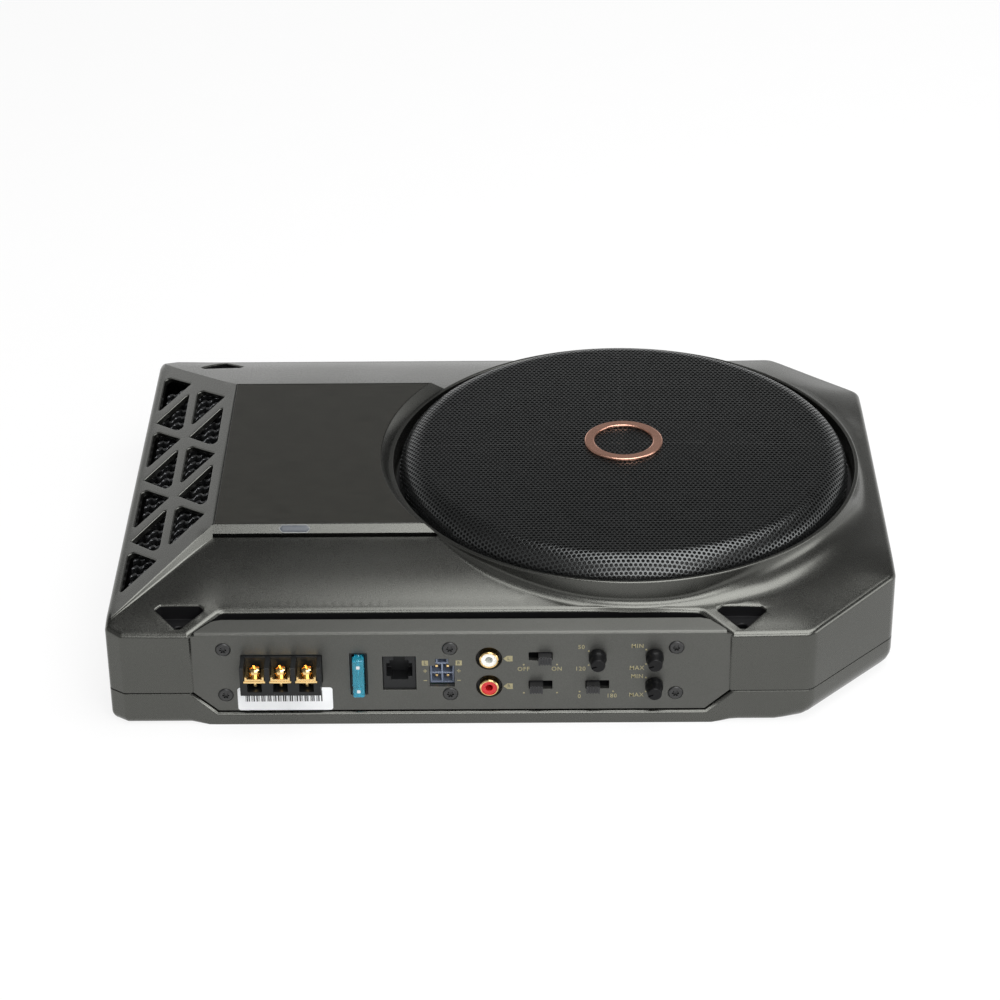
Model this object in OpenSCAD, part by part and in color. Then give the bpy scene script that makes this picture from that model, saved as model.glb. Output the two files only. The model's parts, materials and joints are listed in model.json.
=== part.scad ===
// Powered car subwoofer: a slim sealed box with a shallow 8 inch driver under a domed
// grille, an amplifier with its heat sink under a vented slope, and a connection panel.
// Millimetres. X runs left to right, Y front to back, Z up from the underside.

/* [Casing] */
// Width of the casing, left to right
body_w = 345; // [335:1:365]
// Depth of the casing, front to back
body_d = 250; // [244:1:266]
// Height of the joint between the base tray and the top cover
split_z = 16.5; // [15:0.5:18]
// Thickness of the seal in that joint
seal_t = 0.8; // [0.5:0.1:1.2]
// Thickness of the casing walls and roof
wall = 2.5; // [2:0.1:3]
// Thickness of the base floor
floor_t = 3; // [2.5:0.1:4]
// Height of the bevel round the bottom of the base tray
base_bevel_h = 5; // [3:0.5:6]
// Inward run of that bevel
base_bevel_in = 3; // [1:0.5:4]
// Width of the small left corner chamfers
left_chamfer_x = 6.9; // [4:0.1:9]
// Depth of the small left corner chamfers
left_chamfer_y = 4.6; // [3:0.1:7]
// Width of the large right corner chamfers
right_chamfer_x = 40; // [36:0.5:43]
// Depth of the large right corner chamfers
right_chamfer_y = 41.5; // [36:0.5:44]

/* [Top surface] */
// Height of the front and rear wall tops
edge_z = 46.6; // [46:0.1:47.4]
// Height of the left wall top
left_edge_z = 49.2; // [48.6:0.1:50]
// Height of the right wall top
right_edge_z = 50.5; // [49.5:0.1:52]
// Height where the front and rear slopes meet the raised plate
slope_top_z = 61; // [60.4:0.1:61.6]
// Distance of that line from the middle of the depth
slope_top_y = 68.5; // [67.5:0.1:69.5]
// Fall of the roof toward the right wall, in degrees
right_tilt = 17; // [14:0.5:20]
// Fall of the roof toward the right corner chamfers, in degrees
corner_tilt = 11; // [9:0.5:13]
// Height of the raised plate
plate_z = 66.3; // [65.6:0.1:67]
// Half the depth of the raised plate
plate_half_d = 65.2; // [64.4:0.1:65.8]
// Horizontal run of the vented slope, from the left wall to the plate
vent_run = 42.9; // [41:0.1:44]
// Height of the bottom edge of the bevel along the plate
strip_low_z = 62.3; // [62.1:0.1:62.9]
// Distance of that bottom edge from the middle of the depth
strip_low_y = 67.3; // [66.8:0.1:67.6]
// Thickness of the glossy inlay on the plate
inlay_t = 1; // [0.6:0.1:1.4]
// Border of the plate that stays free round the inlay
inlay_border = 0.6; // [0.4:0.1:1.5]
// Distance of the indicator lights from the middle of the width, to the left
led_left = 93.2; // [85:0.1:98]
// Width of an indicator light
led_w = 13.8; // [10:0.1:16]
// Depth of an indicator light
led_d = 3.2; // [2.4:0.1:3.6]

/* [Vents] */
// Distance between vent windows along the slope's edge
vent_pitch = 27.2; // [25.5:0.1:28]
// Half the length of a window's straight side
vent_half = 16.4; // [14:0.1:17]
// Width of a window across the slope
vent_reach = 15.8; // [13:0.1:16.6]
// Distance of the first column of windows from the left wall, along the slope
vent_first = 4.6; // [4:0.1:5.4]
// Distance between the two columns of windows
vent_column = 20.6; // [20:0.1:21.2]
// Distance between heat sink fins
fin_pitch = 5.6; // [4.8:0.1:7]
// Thickness of a fin
fin_t = 1.1; // [0.8:0.1:1.4]
// Length of one zigzag of a fin
fin_zig = 7; // [6:0.5:8]
// Sideways throw of a zigzag
fin_throw = 1.6; // [1:0.1:2]
// Gap between the vented slope and the fins
fin_gap = 4; // [2:0.5:6]

/* [Driver] */
// Outer radius of the collar round the grille
collar_r = 108.3; // [104:0.1:109]
// Distance between the collar and the right wall
collar_edge = 9.5; // [8:0.1:11]
// Thickness of the collar
collar_t = 2; // [1.6:0.1:2.2]
// Height of the collar's rim
rim_z = 62; // [61:0.1:62.6]
// Width of the slope between the plate's round cut-out and the collar
well_step = 3.2; // [2.6:0.1:4]
// Radius of the sweep at the foot of the collar
flare_r = 4.5; // [3:0.5:6]
// Height of the ledge that carries the driver
ledge_z = 49; // [48:0.1:49.6]
// Gap between the grille and the collar
grille_gap = 2.7; // [1.9:0.1:3.5]
// Height of the grille's top
grille_top = 70; // [69:0.1:72]
// Radius of the grille's rounded edge
grille_edge = 12; // [10:0.5:14]
// Rise of the grille's top above its rounded edge
grille_rise = 1.2; // [0.6:0.1:2]
// Thickness of the grille's steel
grille_t = 0.8; // [0.6:0.1:1]
// Distance between the openings in the grille
mesh_pitch = 15; // [13:0.5:20]
// Radius of the openings in the grille, over their six corners
mesh_r = 6; // [4:0.1:7]
// Outer radius of the badge ring
badge_r = 18; // [15:0.5:20]
// Width of the badge ring's band
badge_band = 4.5; // [3:0.5:6]
// Height of the badge ring
badge_h = 1.4; // [1:0.1:2]
// Width of the surround's roll
roll_w = 15; // [13:0.5:17]
// Thickness of the cone and of the surround
cone_t = 1; // [0.8:0.1:1.2]
// Depth of the cone
cone_depth = 16; // [14:0.5:17]
// Radius of the voice coil former
coil_r = 19; // [18:0.5:20]
// Travel of the cone each way
cone_travel = 5; // [3:0.5:5]
// Outer radius of the magnet
magnet_r = 50; // [44:0.5:54]
// Height of the magnet
magnet_h = 10; // [8:0.5:11]
// Thickness of the steel plates on the magnet
pole_t = 4; // [3:0.5:4.5]

/* [Connection panel] */
// Distance of the panel's middle from the middle of the width, to the left
panel_left = 19.1; // [18:0.1:20]
// Half the width of the recess that holds the panel
recess_half_w = 117.2; // [116.6:0.1:118]
// Depth of that recess
recess_d = 12.3; // [11.5:0.1:13]
// Gap between the recess and the panel
recess_gap = 1; // [0.8:0.1:1.2]
// Thickness of the panel
panel_t = 2.5; // [2:0.1:3]
// Height of the panel's lower edge
panel_z = 6.8; // [6.2:0.1:7.4]
// Height of the panel's upper bevel edge
panel_top = 46.2; // [45.6:0.1:46.6]
// Size of the panel's upper bevel
panel_bevel = 4.4; // [3.5:0.1:5]
// Width of the panel's lower corner chamfers
panel_chamfer_x = 11; // [9:0.5:12]
// Height of the panel's lower corner chamfers
panel_chamfer_z = 10; // [9:0.5:10.5]
// Height of the upper row of panel screws
screw_hi = 38.7; // [38.4:0.1:39]
// Height of the lower row of panel screws
screw_lo = 15.1; // [14.9:0.1:15.3]
// Distance of the middle panel screws from the middle of the width, to the left
screw_left = 23.8; // [23.6:0.1:24]
// Distance between the columns of panel screws
screw_pitch = 97.8; // [97.4:0.1:98.2]
// Radius of a panel screw's head
screw_head_r = 3.15; // [2.9:0.05:3.3]
// Radius of a screw's shank
screw_r = 1.5; // [1.3:0.05:1.6]
// Space behind the panel for the parts on the control board
control_depth = 8; // [7.5:0.1:9]

/* [Controls] */
// Height of the upper row of controls
row_hi = 34.4; // [34:0.1:34.8]
// Height of the lower row of controls
row_lo = 19.6; // [19.2:0.1:20]
// Distance of the first control column from the middle of the width, to the right
column_x = 15.4; // [15:0.1:15.8]
// Distance between control columns
column_pitch = 24.6; // [24.2:0.1:25]
// Width of a slide switch's slot
slot_w = 10.2; // [9.6:0.1:11]
// Height of a slide switch's slot
slot_h = 4.3; // [4:0.1:4.6]
// Width of a slide switch's button
slider_w = 5.8; // [5.4:0.1:6.2]
// How far a slide switch's button stands out of the panel
slider_out = 4.5; // [3.5:0.1:5.5]
// Radius of a knob at the panel
knob_r = 3.9; // [3.6:0.05:4.1]
// Radius of a knob at its tip
knob_tip_r = 3.1; // [2.9:0.05:3.4]
// How far a knob stands out of the panel
knob_out = 8; // [6:0.1:9]
// Radius of a knob's shaft
shaft_r = 2; // [1.6:0.05:2.4]

/* [Sockets] */
// Distance of the phono sockets from the middle of the width, to the left
phono_left = 6.9; // [6.7:0.1:7.1]
// Height of the upper phono socket
phono_hi = 33.4; // [33:0.1:33.8]
// Height of the lower phono socket
phono_lo = 19; // [18.6:0.1:19.4]
// Outer radius of a phono socket's barrel
phono_r = 4.15; // [4:0.05:4.3]
// Radius of the panel hole round a phono socket
phono_hole_r = 5.7; // [5.2:0.1:5.9]
// How far a phono socket stands out of the panel
phono_out = 1.7; // [1:0.1:3]
// Distance of the remote jack from the middle of the width, to the left
jack_left = 45.8; // [45.5:0.1:46.1]
// Width of the remote jack
jack_w = 14.2; // [13.8:0.1:14.8]
// Height of the remote jack
jack_h = 17.2; // [16:0.1:17.6]
// Height of the remote jack's middle
jack_z = 26; // [25.6:0.1:26.4]
// Distance of the speaker level inlet from the middle of the width, to the left
inlet_left = 27.3; // [27:0.1:27.6]
// Width of the speaker level inlet
inlet_w = 10.5; // [10:0.1:10.7]
// Height of the speaker level inlet
inlet_h = 10.6; // [10.2:0.1:10.9]
// Height of the speaker level inlet's middle
inlet_z = 24.3; // [24.1:0.1:24.5]
// Distance of the fuse from the middle of the width, to the left
fuse_left = 63.4; // [63.1:0.1:63.7]
// Height of the fuse's middle
fuse_z = 25.7; // [25.3:0.1:26.1]
// Width of the blade fuse
fuse_w = 19.2; // [18.8:0.1:19.6]
// Thickness of the blade fuse
fuse_t = 5.1; // [4.8:0.1:5.3]
// How far the fuse stands out of the panel
fuse_out = 4.4; // [3:0.1:6]
// Length of the fuse's body
fuse_l = 11.5; // [11:0.1:12.5]
// Length of the fuse's blades
blade_l = 7.5; // [6:0.1:8]
// Distance of the terminal block from the middle of the width, to the left
block_left = 96.7; // [96.3:0.1:97.1]
// Width of the terminal block
block_w = 34.8; // [34:0.1:35.2]
// Height of the terminal block's underside
block_z = 21.4; // [21:0.1:21.8]
// Height of the terminal block
block_h = 14.2; // [13.8:0.1:14.6]
// How far the terminal block stands out of the panel
block_out = 10; // [9.5:0.1:11]
// Thickness of the barriers between the terminals
barrier_t = 2.2; // [2:0.1:2.6]
// Thickness of the terminal block's end walls
end_wall = 1.7; // [1.4:0.1:2.2]
// Height of the contact plates above the block's underside
contact_up = 6.3; // [6:0.1:6.6]
// Radius of a terminal screw's shank
terminal_r = 1.5; // [1.3:0.05:1.7]
// Travel of a terminal's clamp
clamp_lift = 2.1; // [1.4:0.1:2.1]
// Width of the blank label
label_w = 41.4; // [36:0.1:44]
// Height of the blank label
label_h = 11.8; // [10:0.1:12.4]

/* [Fixing points] */
// Distance between the corner pockets, left to right
pocket_dx = 243.6; // [243:0.1:244.2]
// Distance between the corner pocket holes, front to back
pocket_dy = 231.8; // [231:0.1:232.4]
// Half the width of a corner pocket
pocket_half = 10.8; // [10:0.1:11.2]
// Depth of a corner pocket, from its tip to its straight side
pocket_run = 12.5; // [12:0.1:13]
// Height of a pocket's floor
pocket_z = 44.2; // [43:0.1:44.6]
// Radius of a fixing hole
fixing_r = 2.1; // [1.9:0.05:2.3]
// Length of a fixing hole
fixing_l = 12; // [10:0.5:14]

/* [Hidden] */
$fn = 64;

// Clearances: parts that are fixed, parts that slide or turn, and parts cut through
fit = 0.15;
run_fit = 0.05;
slack = 0.3;
over = 1;
huge = 500;
thin = 0.01;

x_left = -body_w / 2;
x_right = body_w / 2;
y_front = -body_d / 2;
y_rear = body_d / 2;
cover_z = split_z + seal_t;

// The front and rear slopes are one large cylinder along X
crown_cz = ((pow(slope_top_z, 2) - pow(edge_z, 2)) + (pow(slope_top_y, 2) - pow(y_front, 2)))
    / (2 * (slope_top_z - edge_z));
crown_r = norm([slope_top_y, slope_top_z - crown_cz]);
plate_x = x_left + vent_run;
vent_tilt = atan((plate_z - left_edge_z) / vent_run);
apex_y = sqrt(pow(crown_r, 2) - pow(left_edge_z - crown_cz, 2));
corner_l = norm([right_chamfer_x, right_chamfer_y]);
corner_rise = atan((right_edge_z - edge_z) / corner_l);
flare_z = sqrt(pow(crown_r, 2) - pow(collar_r + flare_r, 2)) + crown_cz;
driver_x = x_right - collar_edge - collar_r;
collar_in = collar_r - collar_t;
well_r = collar_r + well_step;
grille_r = collar_in - grille_gap;

// Driver levels, from the ledge down to the back of the magnet
flange_gap = 1;
flange_r = collar_in - flange_gap;
flange_t = 2;
flange_z = ledge_z + flange_t;
ledge_w = 14.3;
ledge_r = collar_in - ledge_w;
gasket_t = 1.3;
gasket_w = 3.9;
roll_lip = 2.5;
roll_r = ledge_r + 1;
cone_r = roll_r - roll_w;
driver_screws_n = 8;
driver_screw_in = 7.8;
driver_screw_r = collar_in - driver_screw_in;
driver_head_r = 2.3;
driver_head_h = 1.2;
driver_bite = 2;
grille_z = flange_z + gasket_t;
cone_z = flange_z + cone_t;
coil_z = cone_z - cone_depth;
magnet_z = 10;
gap_z = magnet_z + magnet_h;
basket_z = gap_z + pole_t;
coil_t = 1;
coil_play = 0.5;
coil_low = magnet_z + cone_travel + 2 * over;
cone_neck = 1.4 * cone_t;
pole_r = coil_r - coil_play;
gap_r = coil_r + coil_t + coil_play;
plate_in = 4;
yoke_bore_r = 6;
spider_r = 46;
spider_lip = 3;
spider_z = basket_z + 7;
spider_t = 1;
basket_t = 2;
basket_foot_r = spider_r + 2 * basket_t;
basket_side_gap = 1.5;
basket_side_r = ledge_r - basket_side_gap;
cap_r = 30;
cap_rise = 7;

// Connection panel planes
panel_x = -panel_left;
panel_y = y_front + recess_gap;
panel_back = panel_y + panel_t;
board_y = panel_back + control_depth;
panel_half_w = recess_half_w - recess_gap;
lintel_z = panel_top - 2;
screw_columns = [for (i = [-1:1]) -screw_left + i * screw_pitch];
boss_r = 3.2;
boss_l = control_depth - over;
head_sunk = 0.9;
head_h = 1.3;
head_ease = 0.4;
screw_bite = 7;
star_l = 3;
star_w = 0.8;
column = [for (i = [0:2]) column_x + i * column_pitch];
slider_travel = slot_w - slider_w - 2 * slack;
slider_h = slot_h - 2 * slack;

// Fixing points at the corners, and posts that hold the casing together
fixing_x = [panel_x - pocket_dx / 2, panel_x + pocket_dx / 2];
fixing_y = [-pocket_dy / 2, pocket_dy / 2];
post_in = 10.5;
post_r = 4.6;
left_post_y = apex_y - 13;
right_post_x = x_right - right_chamfer_x + 3;
right_post_y = y_rear - 27;
rear_post_in = 8;
casing_head_z = 2;
casing_bite = 12;
posts = [
    [x_left + post_in, -left_post_y], [x_left + post_in, left_post_y],
    [right_post_x, -right_post_y], [right_post_x, right_post_y],
    [panel_x, y_rear - rear_post_in]];

// Amplifier board and its heat sink
standoff_z = 8;
amp_t = 1.6;
amp_z = standoff_z + amp_t;
sink_back = 4;
sink_x = plate_x - sink_back;
sink_foot = 3;
sink_edge = 12;
sink_rail = 8;
amp_w = 92;
amp_x0 = plate_x + over;
amp_x1 = amp_x0 + amp_w;
amp_half_d = 100;
amp_edge = 5;
amp_fixings = [for (x = [amp_x0 + amp_edge, amp_x1 - amp_edge], y = [-1, 1])
    [x, y * (amp_half_d - amp_edge)]];
standoff_r = 4;

// One leg of a corner chamfer after the outline moves inward by d
function leg(a, b, d) = a - d * (1 + (a - norm([a, b])) / b);

module outline(d = 0) {
    lx = leg(left_chamfer_x, left_chamfer_y, d);
    ly = leg(left_chamfer_y, left_chamfer_x, d);
    rx = leg(right_chamfer_x, right_chamfer_y, d);
    ry = leg(right_chamfer_y, right_chamfer_x, d);
    xl = x_left + d;
    xr = x_right - d;
    yr = y_rear - d;
    polygon([
        [xl + lx, -yr], [xr - rx, -yr], [xr, -yr + ry], [xr, yr - ry],
        [xr - rx, yr], [xl + lx, yr], [xl, yr - ly], [xl, -yr + ly]]);
}

// Everything below a tilted plane through point p
module below(p, turn) {
    translate(p) rotate(turn) translate([-huge, -huge, -2 * huge]) cube(2 * huge);
}

module along_y(p, r, h, fn = 48) {
    translate(p) rotate([-90, 0, 0]) cylinder(r = r, h = h, $fn = fn);
}

module ring(r_out, r_in, h, z = 0) {
    translate([0, 0, z]) difference() {
        cylinder(r = r_out, h = h, $fn = 180);
        translate([0, 0, -over]) cylinder(r = r_in, h = h + 2 * over, $fn = 180);
    }
}

module at_driver() {
    translate([driver_x, 0, 0]) children();
}

// Sloped roof of the cover, moved inward by d
module roof_form(d) {
    intersection() {
        translate([0, 0, cover_z - (d > 0 ? over : 0)]) linear_extrude(rim_z - cover_z) outline(d);
        translate([0, 0, crown_cz]) rotate([0, 90, 0])
            cylinder(r = crown_r - d, h = 2 * body_w, center = true, $fn = 180);
        below([x_left, 0, left_edge_z - d - slack], [0, -vent_tilt, 0]);
        below([x_right, 0, right_edge_z - d], [0, right_tilt, 0]);
        intersection_for (side = [0, 1]) mirror([0, side, 0])
            below([x_right - right_chamfer_x, y_front, edge_z - d],
                [corner_tilt, -corner_rise, atan2(right_chamfer_y, right_chamfer_x)]);
    }
}

// Raised plate and vented slope, moved inward by d
module plate_form(d) {
    z0 = cover_z + (d > 0 ? -over : 2 * over);
    x0 = x_left + d;
    x1 = driver_x - collar_in / 2;
    a = [x0, apex_y - d, left_edge_z - d];
    p = [plate_x, plate_half_d - d / 2, plate_z - d];
    b = [plate_x, strip_low_y - d, strip_low_z - d];
    function side(s) = [
        [a.x, s * a.y, a.z], [p.x, s * p.y, p.z], [b.x, s * b.y, b.z],
        [x1, s * p.y, p.z], [x1, s * b.y, b.z],
        [a.x, s * a.y, z0], [b.x, s * b.y, z0], [x1, s * b.y, z0]];
    front = [[0, 1, 2], [1, 3, 4, 2], [0, 2, 6, 5], [2, 4, 7, 6]];
    polyhedron(points = concat(side(-1), side(1)), faces = concat(
        front, [for (f = front) [for (i = [len(f) - 1:-1:0]) f[i] + 8]],
        [[0, 8, 9, 1], [1, 9, 11, 3], [3, 11, 12, 4], [4, 12, 15, 7],
         [0, 5, 13, 8], [5, 6, 14, 13], [6, 7, 15, 14]]));
}

// Plan of the recess in the front, moved outward by d
module recess_plan(d) {
    flat = recess_half_w - recess_d + d * tan(22.5);
    mouth = recess_half_w + d * sqrt(2) + over;
    back = y_front + recess_d + d;
    translate([panel_x, 0]) polygon([
        [-mouth, y_front - over], [-flat, back], [flat, back], [mouth, y_front - over]]);
}

// Walls that frame the recess: full height at the sides, only a lintel across the middle
module recess_frame() {
    difference() {
        linear_extrude(rim_z) recess_plan(wall);
        translate([panel_x - recess_half_w + recess_d, y_front - over, 0])
            cube([2 * (recess_half_w - recess_d), recess_d + wall + 2 * over, lintel_z]);
    }
}

// Front outline of the panel, grown by d
module panel_front(d) {
    half = panel_half_w + d;
    foot = half - panel_chamfer_x;
    low = panel_z - d;
    top = panel_top + panel_bevel;
    translate([panel_x, 0]) polygon([
        [-half, top], [-half, low + panel_chamfer_z], [-foot, low],
        [foot, low], [half, low + panel_chamfer_z], [half, top]]);
}

module panel_slab(d, y, depth) {
    translate([0, y + depth, 0]) rotate([90, 0, 0]) linear_extrude(depth) panel_front(d);
}

// Plan of a corner pocket round its hole, grown by d; the tip points to the front
module pocket_plan(d) {
    tip_share = 0.4;
    tip_half = 1;
    tip = pocket_run * tip_share + d * 1.5;
    back = pocket_run * (1 - tip_share) + d;
    half = pocket_half + d;
    clip = 2.2;
    polygon([
        [-tip_half, -tip], [tip_half, -tip], [half, back - clip], [half - clip, back],
        [clip - half, back], [-half, back - clip]]);
}

module at_pockets() {
    for (x = fixing_x, s = [0, 1]) mirror([0, s, 0]) translate([x, fixing_y[0], 0]) children();
}

// Triangular windows of the vented slope, in the plane of the slope
module vent_window(s, points_right) {
    w = points_right ? vent_reach : -vent_reach;
    x = points_right ? s : s + vent_reach;
    polygon([[x, -vent_half], [x + w, 0], [x, vent_half]]);
}

module vent_windows(depth) {
    translate([x_left, 0, left_edge_z]) rotate([0, -vent_tilt, 0]) translate([0, 0, -depth])
        linear_extrude(depth + 2 * over) for (k = [-3:3]) {
            translate([0, k * vent_pitch]) vent_window(vent_first, k % 2 != 0);
            if (abs(k) < 3)
                translate([0, k * vent_pitch]) vent_window(vent_first + vent_column, k % 2 == 0);
        }
}

module inlay_plan(d) {
    difference() {
        translate([plate_x + inlay_border + d, -plate_half_d + inlay_border + d])
            square([driver_x - plate_x, 2 * (plate_half_d - inlay_border - d)]);
        translate([driver_x, 0]) circle(r = well_r + inlay_border + d, $fn = 180);
        translate([driver_x, -huge]) square(2 * huge);
    }
}

// An indicator light: an elongated hexagon lying in the bevel beside the plate
module led_plan(d) {
    half = led_w / 2 + d;
    deep = led_d / 2 + d;
    polygon([
        [-half, 0], [deep - half, -deep], [half - deep, -deep],
        [half, 0], [half - deep, deep], [deep - half, deep]]);
}

module at_leds() {
    strip_tilt = atan((plate_z - strip_low_z) / (strip_low_y - plate_half_d));
    for (s = [0, 1]) mirror([0, s, 0])
        translate([-led_left, -(plate_half_d + strip_low_y) / 2, (plate_z + strip_low_z) / 2])
            rotate([strip_tilt, 0, 0]) children();
}

// Counterbore and hole for a casing screw, from below
module casing_screw_space() {
    translate([0, 0, -over]) cylinder(r = screw_head_r + fit, h = over + casing_head_z, $fn = 48);
    translate([0, 0, -over]) cylinder(r = screw_r + run_fit, h = cover_z + over, $fn = 48);
}

// Hole for the thread of a panel screw, behind the panel
module panel_screw_hole(x, z) {
    along_y([x, panel_back - over, z], screw_r + run_fit, screw_bite + 3 * over);
}

module base_tray() {
    color("#3f423e") difference() {
        union() {
            difference() {
                hull() {
                    linear_extrude(thin) outline(base_bevel_in);
                    translate([0, 0, base_bevel_h]) linear_extrude(split_z - base_bevel_h) outline(0);
                }
                difference() {
                    translate([0, 0, floor_t]) linear_extrude(split_z) outline(wall + base_bevel_in);
                    for (p = posts) translate(p) cylinder(r = post_r, h = split_z, $fn = 48);
                }
                panel_slab(slack, y_front - over, over + 2 * wall + base_bevel_in);
            }
            for (x = screw_columns) {
                along_y([x, panel_back, screw_lo], boss_r, boss_l);
                translate([x - boss_r, panel_back, floor_t - over])
                    cube([2 * boss_r, boss_l, screw_lo - floor_t + over]);
            }
            for (p = amp_fixings) translate([p.x, p.y, floor_t - over])
                cylinder(r = standoff_r, h = standoff_z - floor_t + over, $fn = 48);
            translate([sink_x - sink_rail, sink_rail - amp_half_d, floor_t - over])
                cube([sink_rail, 2 * (amp_half_d - sink_rail), standoff_z - floor_t + over]);
        }
        for (x = screw_columns) panel_screw_hole(x, screw_lo);
        for (p = amp_fixings) translate([p.x, p.y, floor_t + over])
            cylinder(r = screw_r + run_fit, h = standoff_z, $fn = 48);
        for (p = posts) translate(p) casing_screw_space();
    }
}

module casing_seal() {
    color("#141414") translate([0, 0, split_z]) difference() {
        linear_extrude(seal_t) outline(slack * 2);
        translate([0, 0, -over]) linear_extrude(seal_t + 2 * over) outline(wall + slack);
        translate([0, 0, -split_z]) panel_slab(slack * 2, y_front - over, over + 2 * wall);
        translate([0, 0, -split_z]) linear_extrude(rim_z) recess_plan(slack);
    }
}

// Sweep at the foot of the collar, as part of the roof
module collar_sweep() {
    foot_r = collar_r + flare_r;
    at_driver() rotate_extrude($fn = 180) difference() {
        polygon([
            [collar_in, cover_z + over], [foot_r, cover_z + over], [foot_r, flare_z],
            [collar_r, flare_z + flare_r], [collar_r, rim_z], [collar_in, rim_z]]);
        translate([foot_r, flare_z + flare_r]) circle(r = flare_r, $fn = 64);
    }
}

module top_cover() {
    color("#4a4d48") difference() {
        union() {
            difference() {
                union() {
                    roof_form(0);
                    plate_form(0);
                    collar_sweep();
                }
                difference() {
                    union() {
                        roof_form(wall);
                        plate_form(wall);
                    }
                    recess_frame();
                    at_driver() translate([0, 0, ledge_z - wall])
                        cylinder(r = collar_r, h = huge, $fn = 180);
                }
            }
            intersection() {
                roof_form(wall / 2);
                union() {
                    for (p = posts) translate([p.x, p.y, cover_z])
                        cylinder(r = post_r, h = rim_z, $fn = 48);
                    at_pockets() translate([0, 0, pocket_z - wall])
                        linear_extrude(rim_z) pocket_plan(wall);
                    at_pockets() translate([0, 0, pocket_z - fixing_l - wall])
                        cylinder(r = fixing_r + wall, h = fixing_l, $fn = 48);
                    translate([0, y_front + recess_d, 0]) for (x = screw_columns)
                        translate([x - boss_r, 0, screw_hi]) cube([2 * boss_r, wall, rim_z]);
                }
            }
            for (x = screw_columns)
                along_y([x, panel_back, screw_hi], boss_r, y_front + recess_d + wall - panel_back);
        }
        at_driver() {
            translate([0, 0, ledge_z]) cylinder(r = collar_in, h = huge, $fn = 180);
            translate([0, 0, ledge_z - 2 * wall]) cylinder(r = ledge_r, h = huge, $fn = 180);
            translate([0, 0, rim_z])
                cylinder(r1 = collar_r, r2 = well_r, h = plate_z - rim_z, $fn = 180);
            translate([0, 0, plate_z]) cylinder(r = well_r, h = over, $fn = 180);
        }
        difference() {
            translate([0, 0, -over]) linear_extrude(huge) recess_plan(0);
            for (x = screw_columns) along_y([x, panel_back, screw_hi], boss_r, recess_d);
        }
        vent_windows(3 * wall);
        at_pockets() {
            translate([0, 0, pocket_z]) linear_extrude(rim_z) pocket_plan(0);
            translate([0, 0, pocket_z - fixing_l]) cylinder(r = fixing_r, h = huge, $fn = 48);
        }
        for (x = screw_columns) panel_screw_hole(x, screw_hi);
        for (p = posts) translate([p.x, p.y, cover_z - over])
            cylinder(r = screw_r + run_fit, h = casing_bite + 2 * over, $fn = 48);
        driver_spots() translate([0, 0, ledge_z - wall - over])
            cylinder(r = screw_r + run_fit, h = wall + 2 * over, $fn = 48);
        translate([0, 0, plate_z - inlay_t]) linear_extrude(inlay_t + over) inlay_plan(-fit);
        at_leds() translate([0, 0, -wall / 2]) linear_extrude(3 * wall) led_plan(fit);
    }
}

module display_inlay() {
    color("#1d1c19") translate([0, 0, plate_z - inlay_t]) linear_extrude(inlay_t) inlay_plan(0);
}

module indicator_lights() {
    color("#c9ccca") at_leds() translate([0, 0, -wall / 2]) linear_extrude(wall / 2) led_plan(0);
}

// Flat plan of the panel with its raked ends
module panel_plan() {
    back = y_front + recess_d - fit;
    run = back - y_front;
    polygon([
        [panel_x - panel_half_w - over, y_front - over],
        [panel_x + panel_half_w + over, y_front - over],
        [panel_x + panel_half_w - run, back],
        [panel_x - panel_half_w + run, back]]);
}

// Side view of the panel: face, raked bevel, gutter and the flange that meets the recess
module panel_profile() {
    lip = 1.2;
    gutter_z = panel_top + 1;
    y1 = panel_y + panel_bevel;
    top = panel_top + panel_bevel;
    back = y_front + recess_d;
    polygon([
        [panel_y, 0], [panel_y, panel_top], [y1, top], [y1 + lip, top],
        [y1 + lip, gutter_z], [back, gutter_z], [back, gutter_z - panel_t],
        [y1, gutter_z - panel_t], [panel_back, panel_top - panel_t / 2], [panel_back, 0]]);
}

module screw_spots() {
    for (x = screw_columns, z = [screw_lo, screw_hi]) translate([x, panel_y, z]) children();
}

// A box centred on x and z, from y0 to y1
module block(x, z, w, h, y0, y1) {
    translate([x - w / 2, y0, z - h / 2]) cube([w, y1 - y0, h]);
}

// Hole in the panel for a fixed part of size w by h
module cutout(x, z, w, h) {
    block(x, z, w + 2 * fit, h + 2 * fit, panel_y - over, panel_back + over);
}

module control_panel() {
    through = panel_y - over;
    behind = panel_back + over;
    color("#53564f") difference() {
        intersection() {
            translate([panel_x - panel_half_w, 0, 0]) rotate([90, 0, 90])
                linear_extrude(2 * panel_half_w) panel_profile();
            linear_extrude(huge) panel_plan();
            panel_slab(0, y_front - over, recess_d + 2 * over);
        }
        screw_spots() {
            along_y([0, -over, 0], screw_head_r + fit, over + head_sunk);
            along_y([0, -over, 0], screw_r + slack, 2 * over + panel_t);
        }
        cutout(-block_left, block_z + block_h / 2, block_w, block_h);
        cutout(-fuse_left, fuse_z, fuse_collar_w, fuse_collar_h);
        cutout(-jack_left, jack_z, jack_w, jack_h);
        cutout(-inlet_left, inlet_z, inlet_w, inlet_h);
        cutout(-inlet_left, latch_z, latch_w, latch_h);
        for (z = [phono_lo, phono_hi]) along_y([-phono_left, through, z], phono_hole_r, behind - through);
        switch_spots() block(0, 0, slot_w, slot_h, through, behind);
        knob_spots() along_y([0, through, 0], bush_r + fit, behind - through);
    }
}

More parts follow.
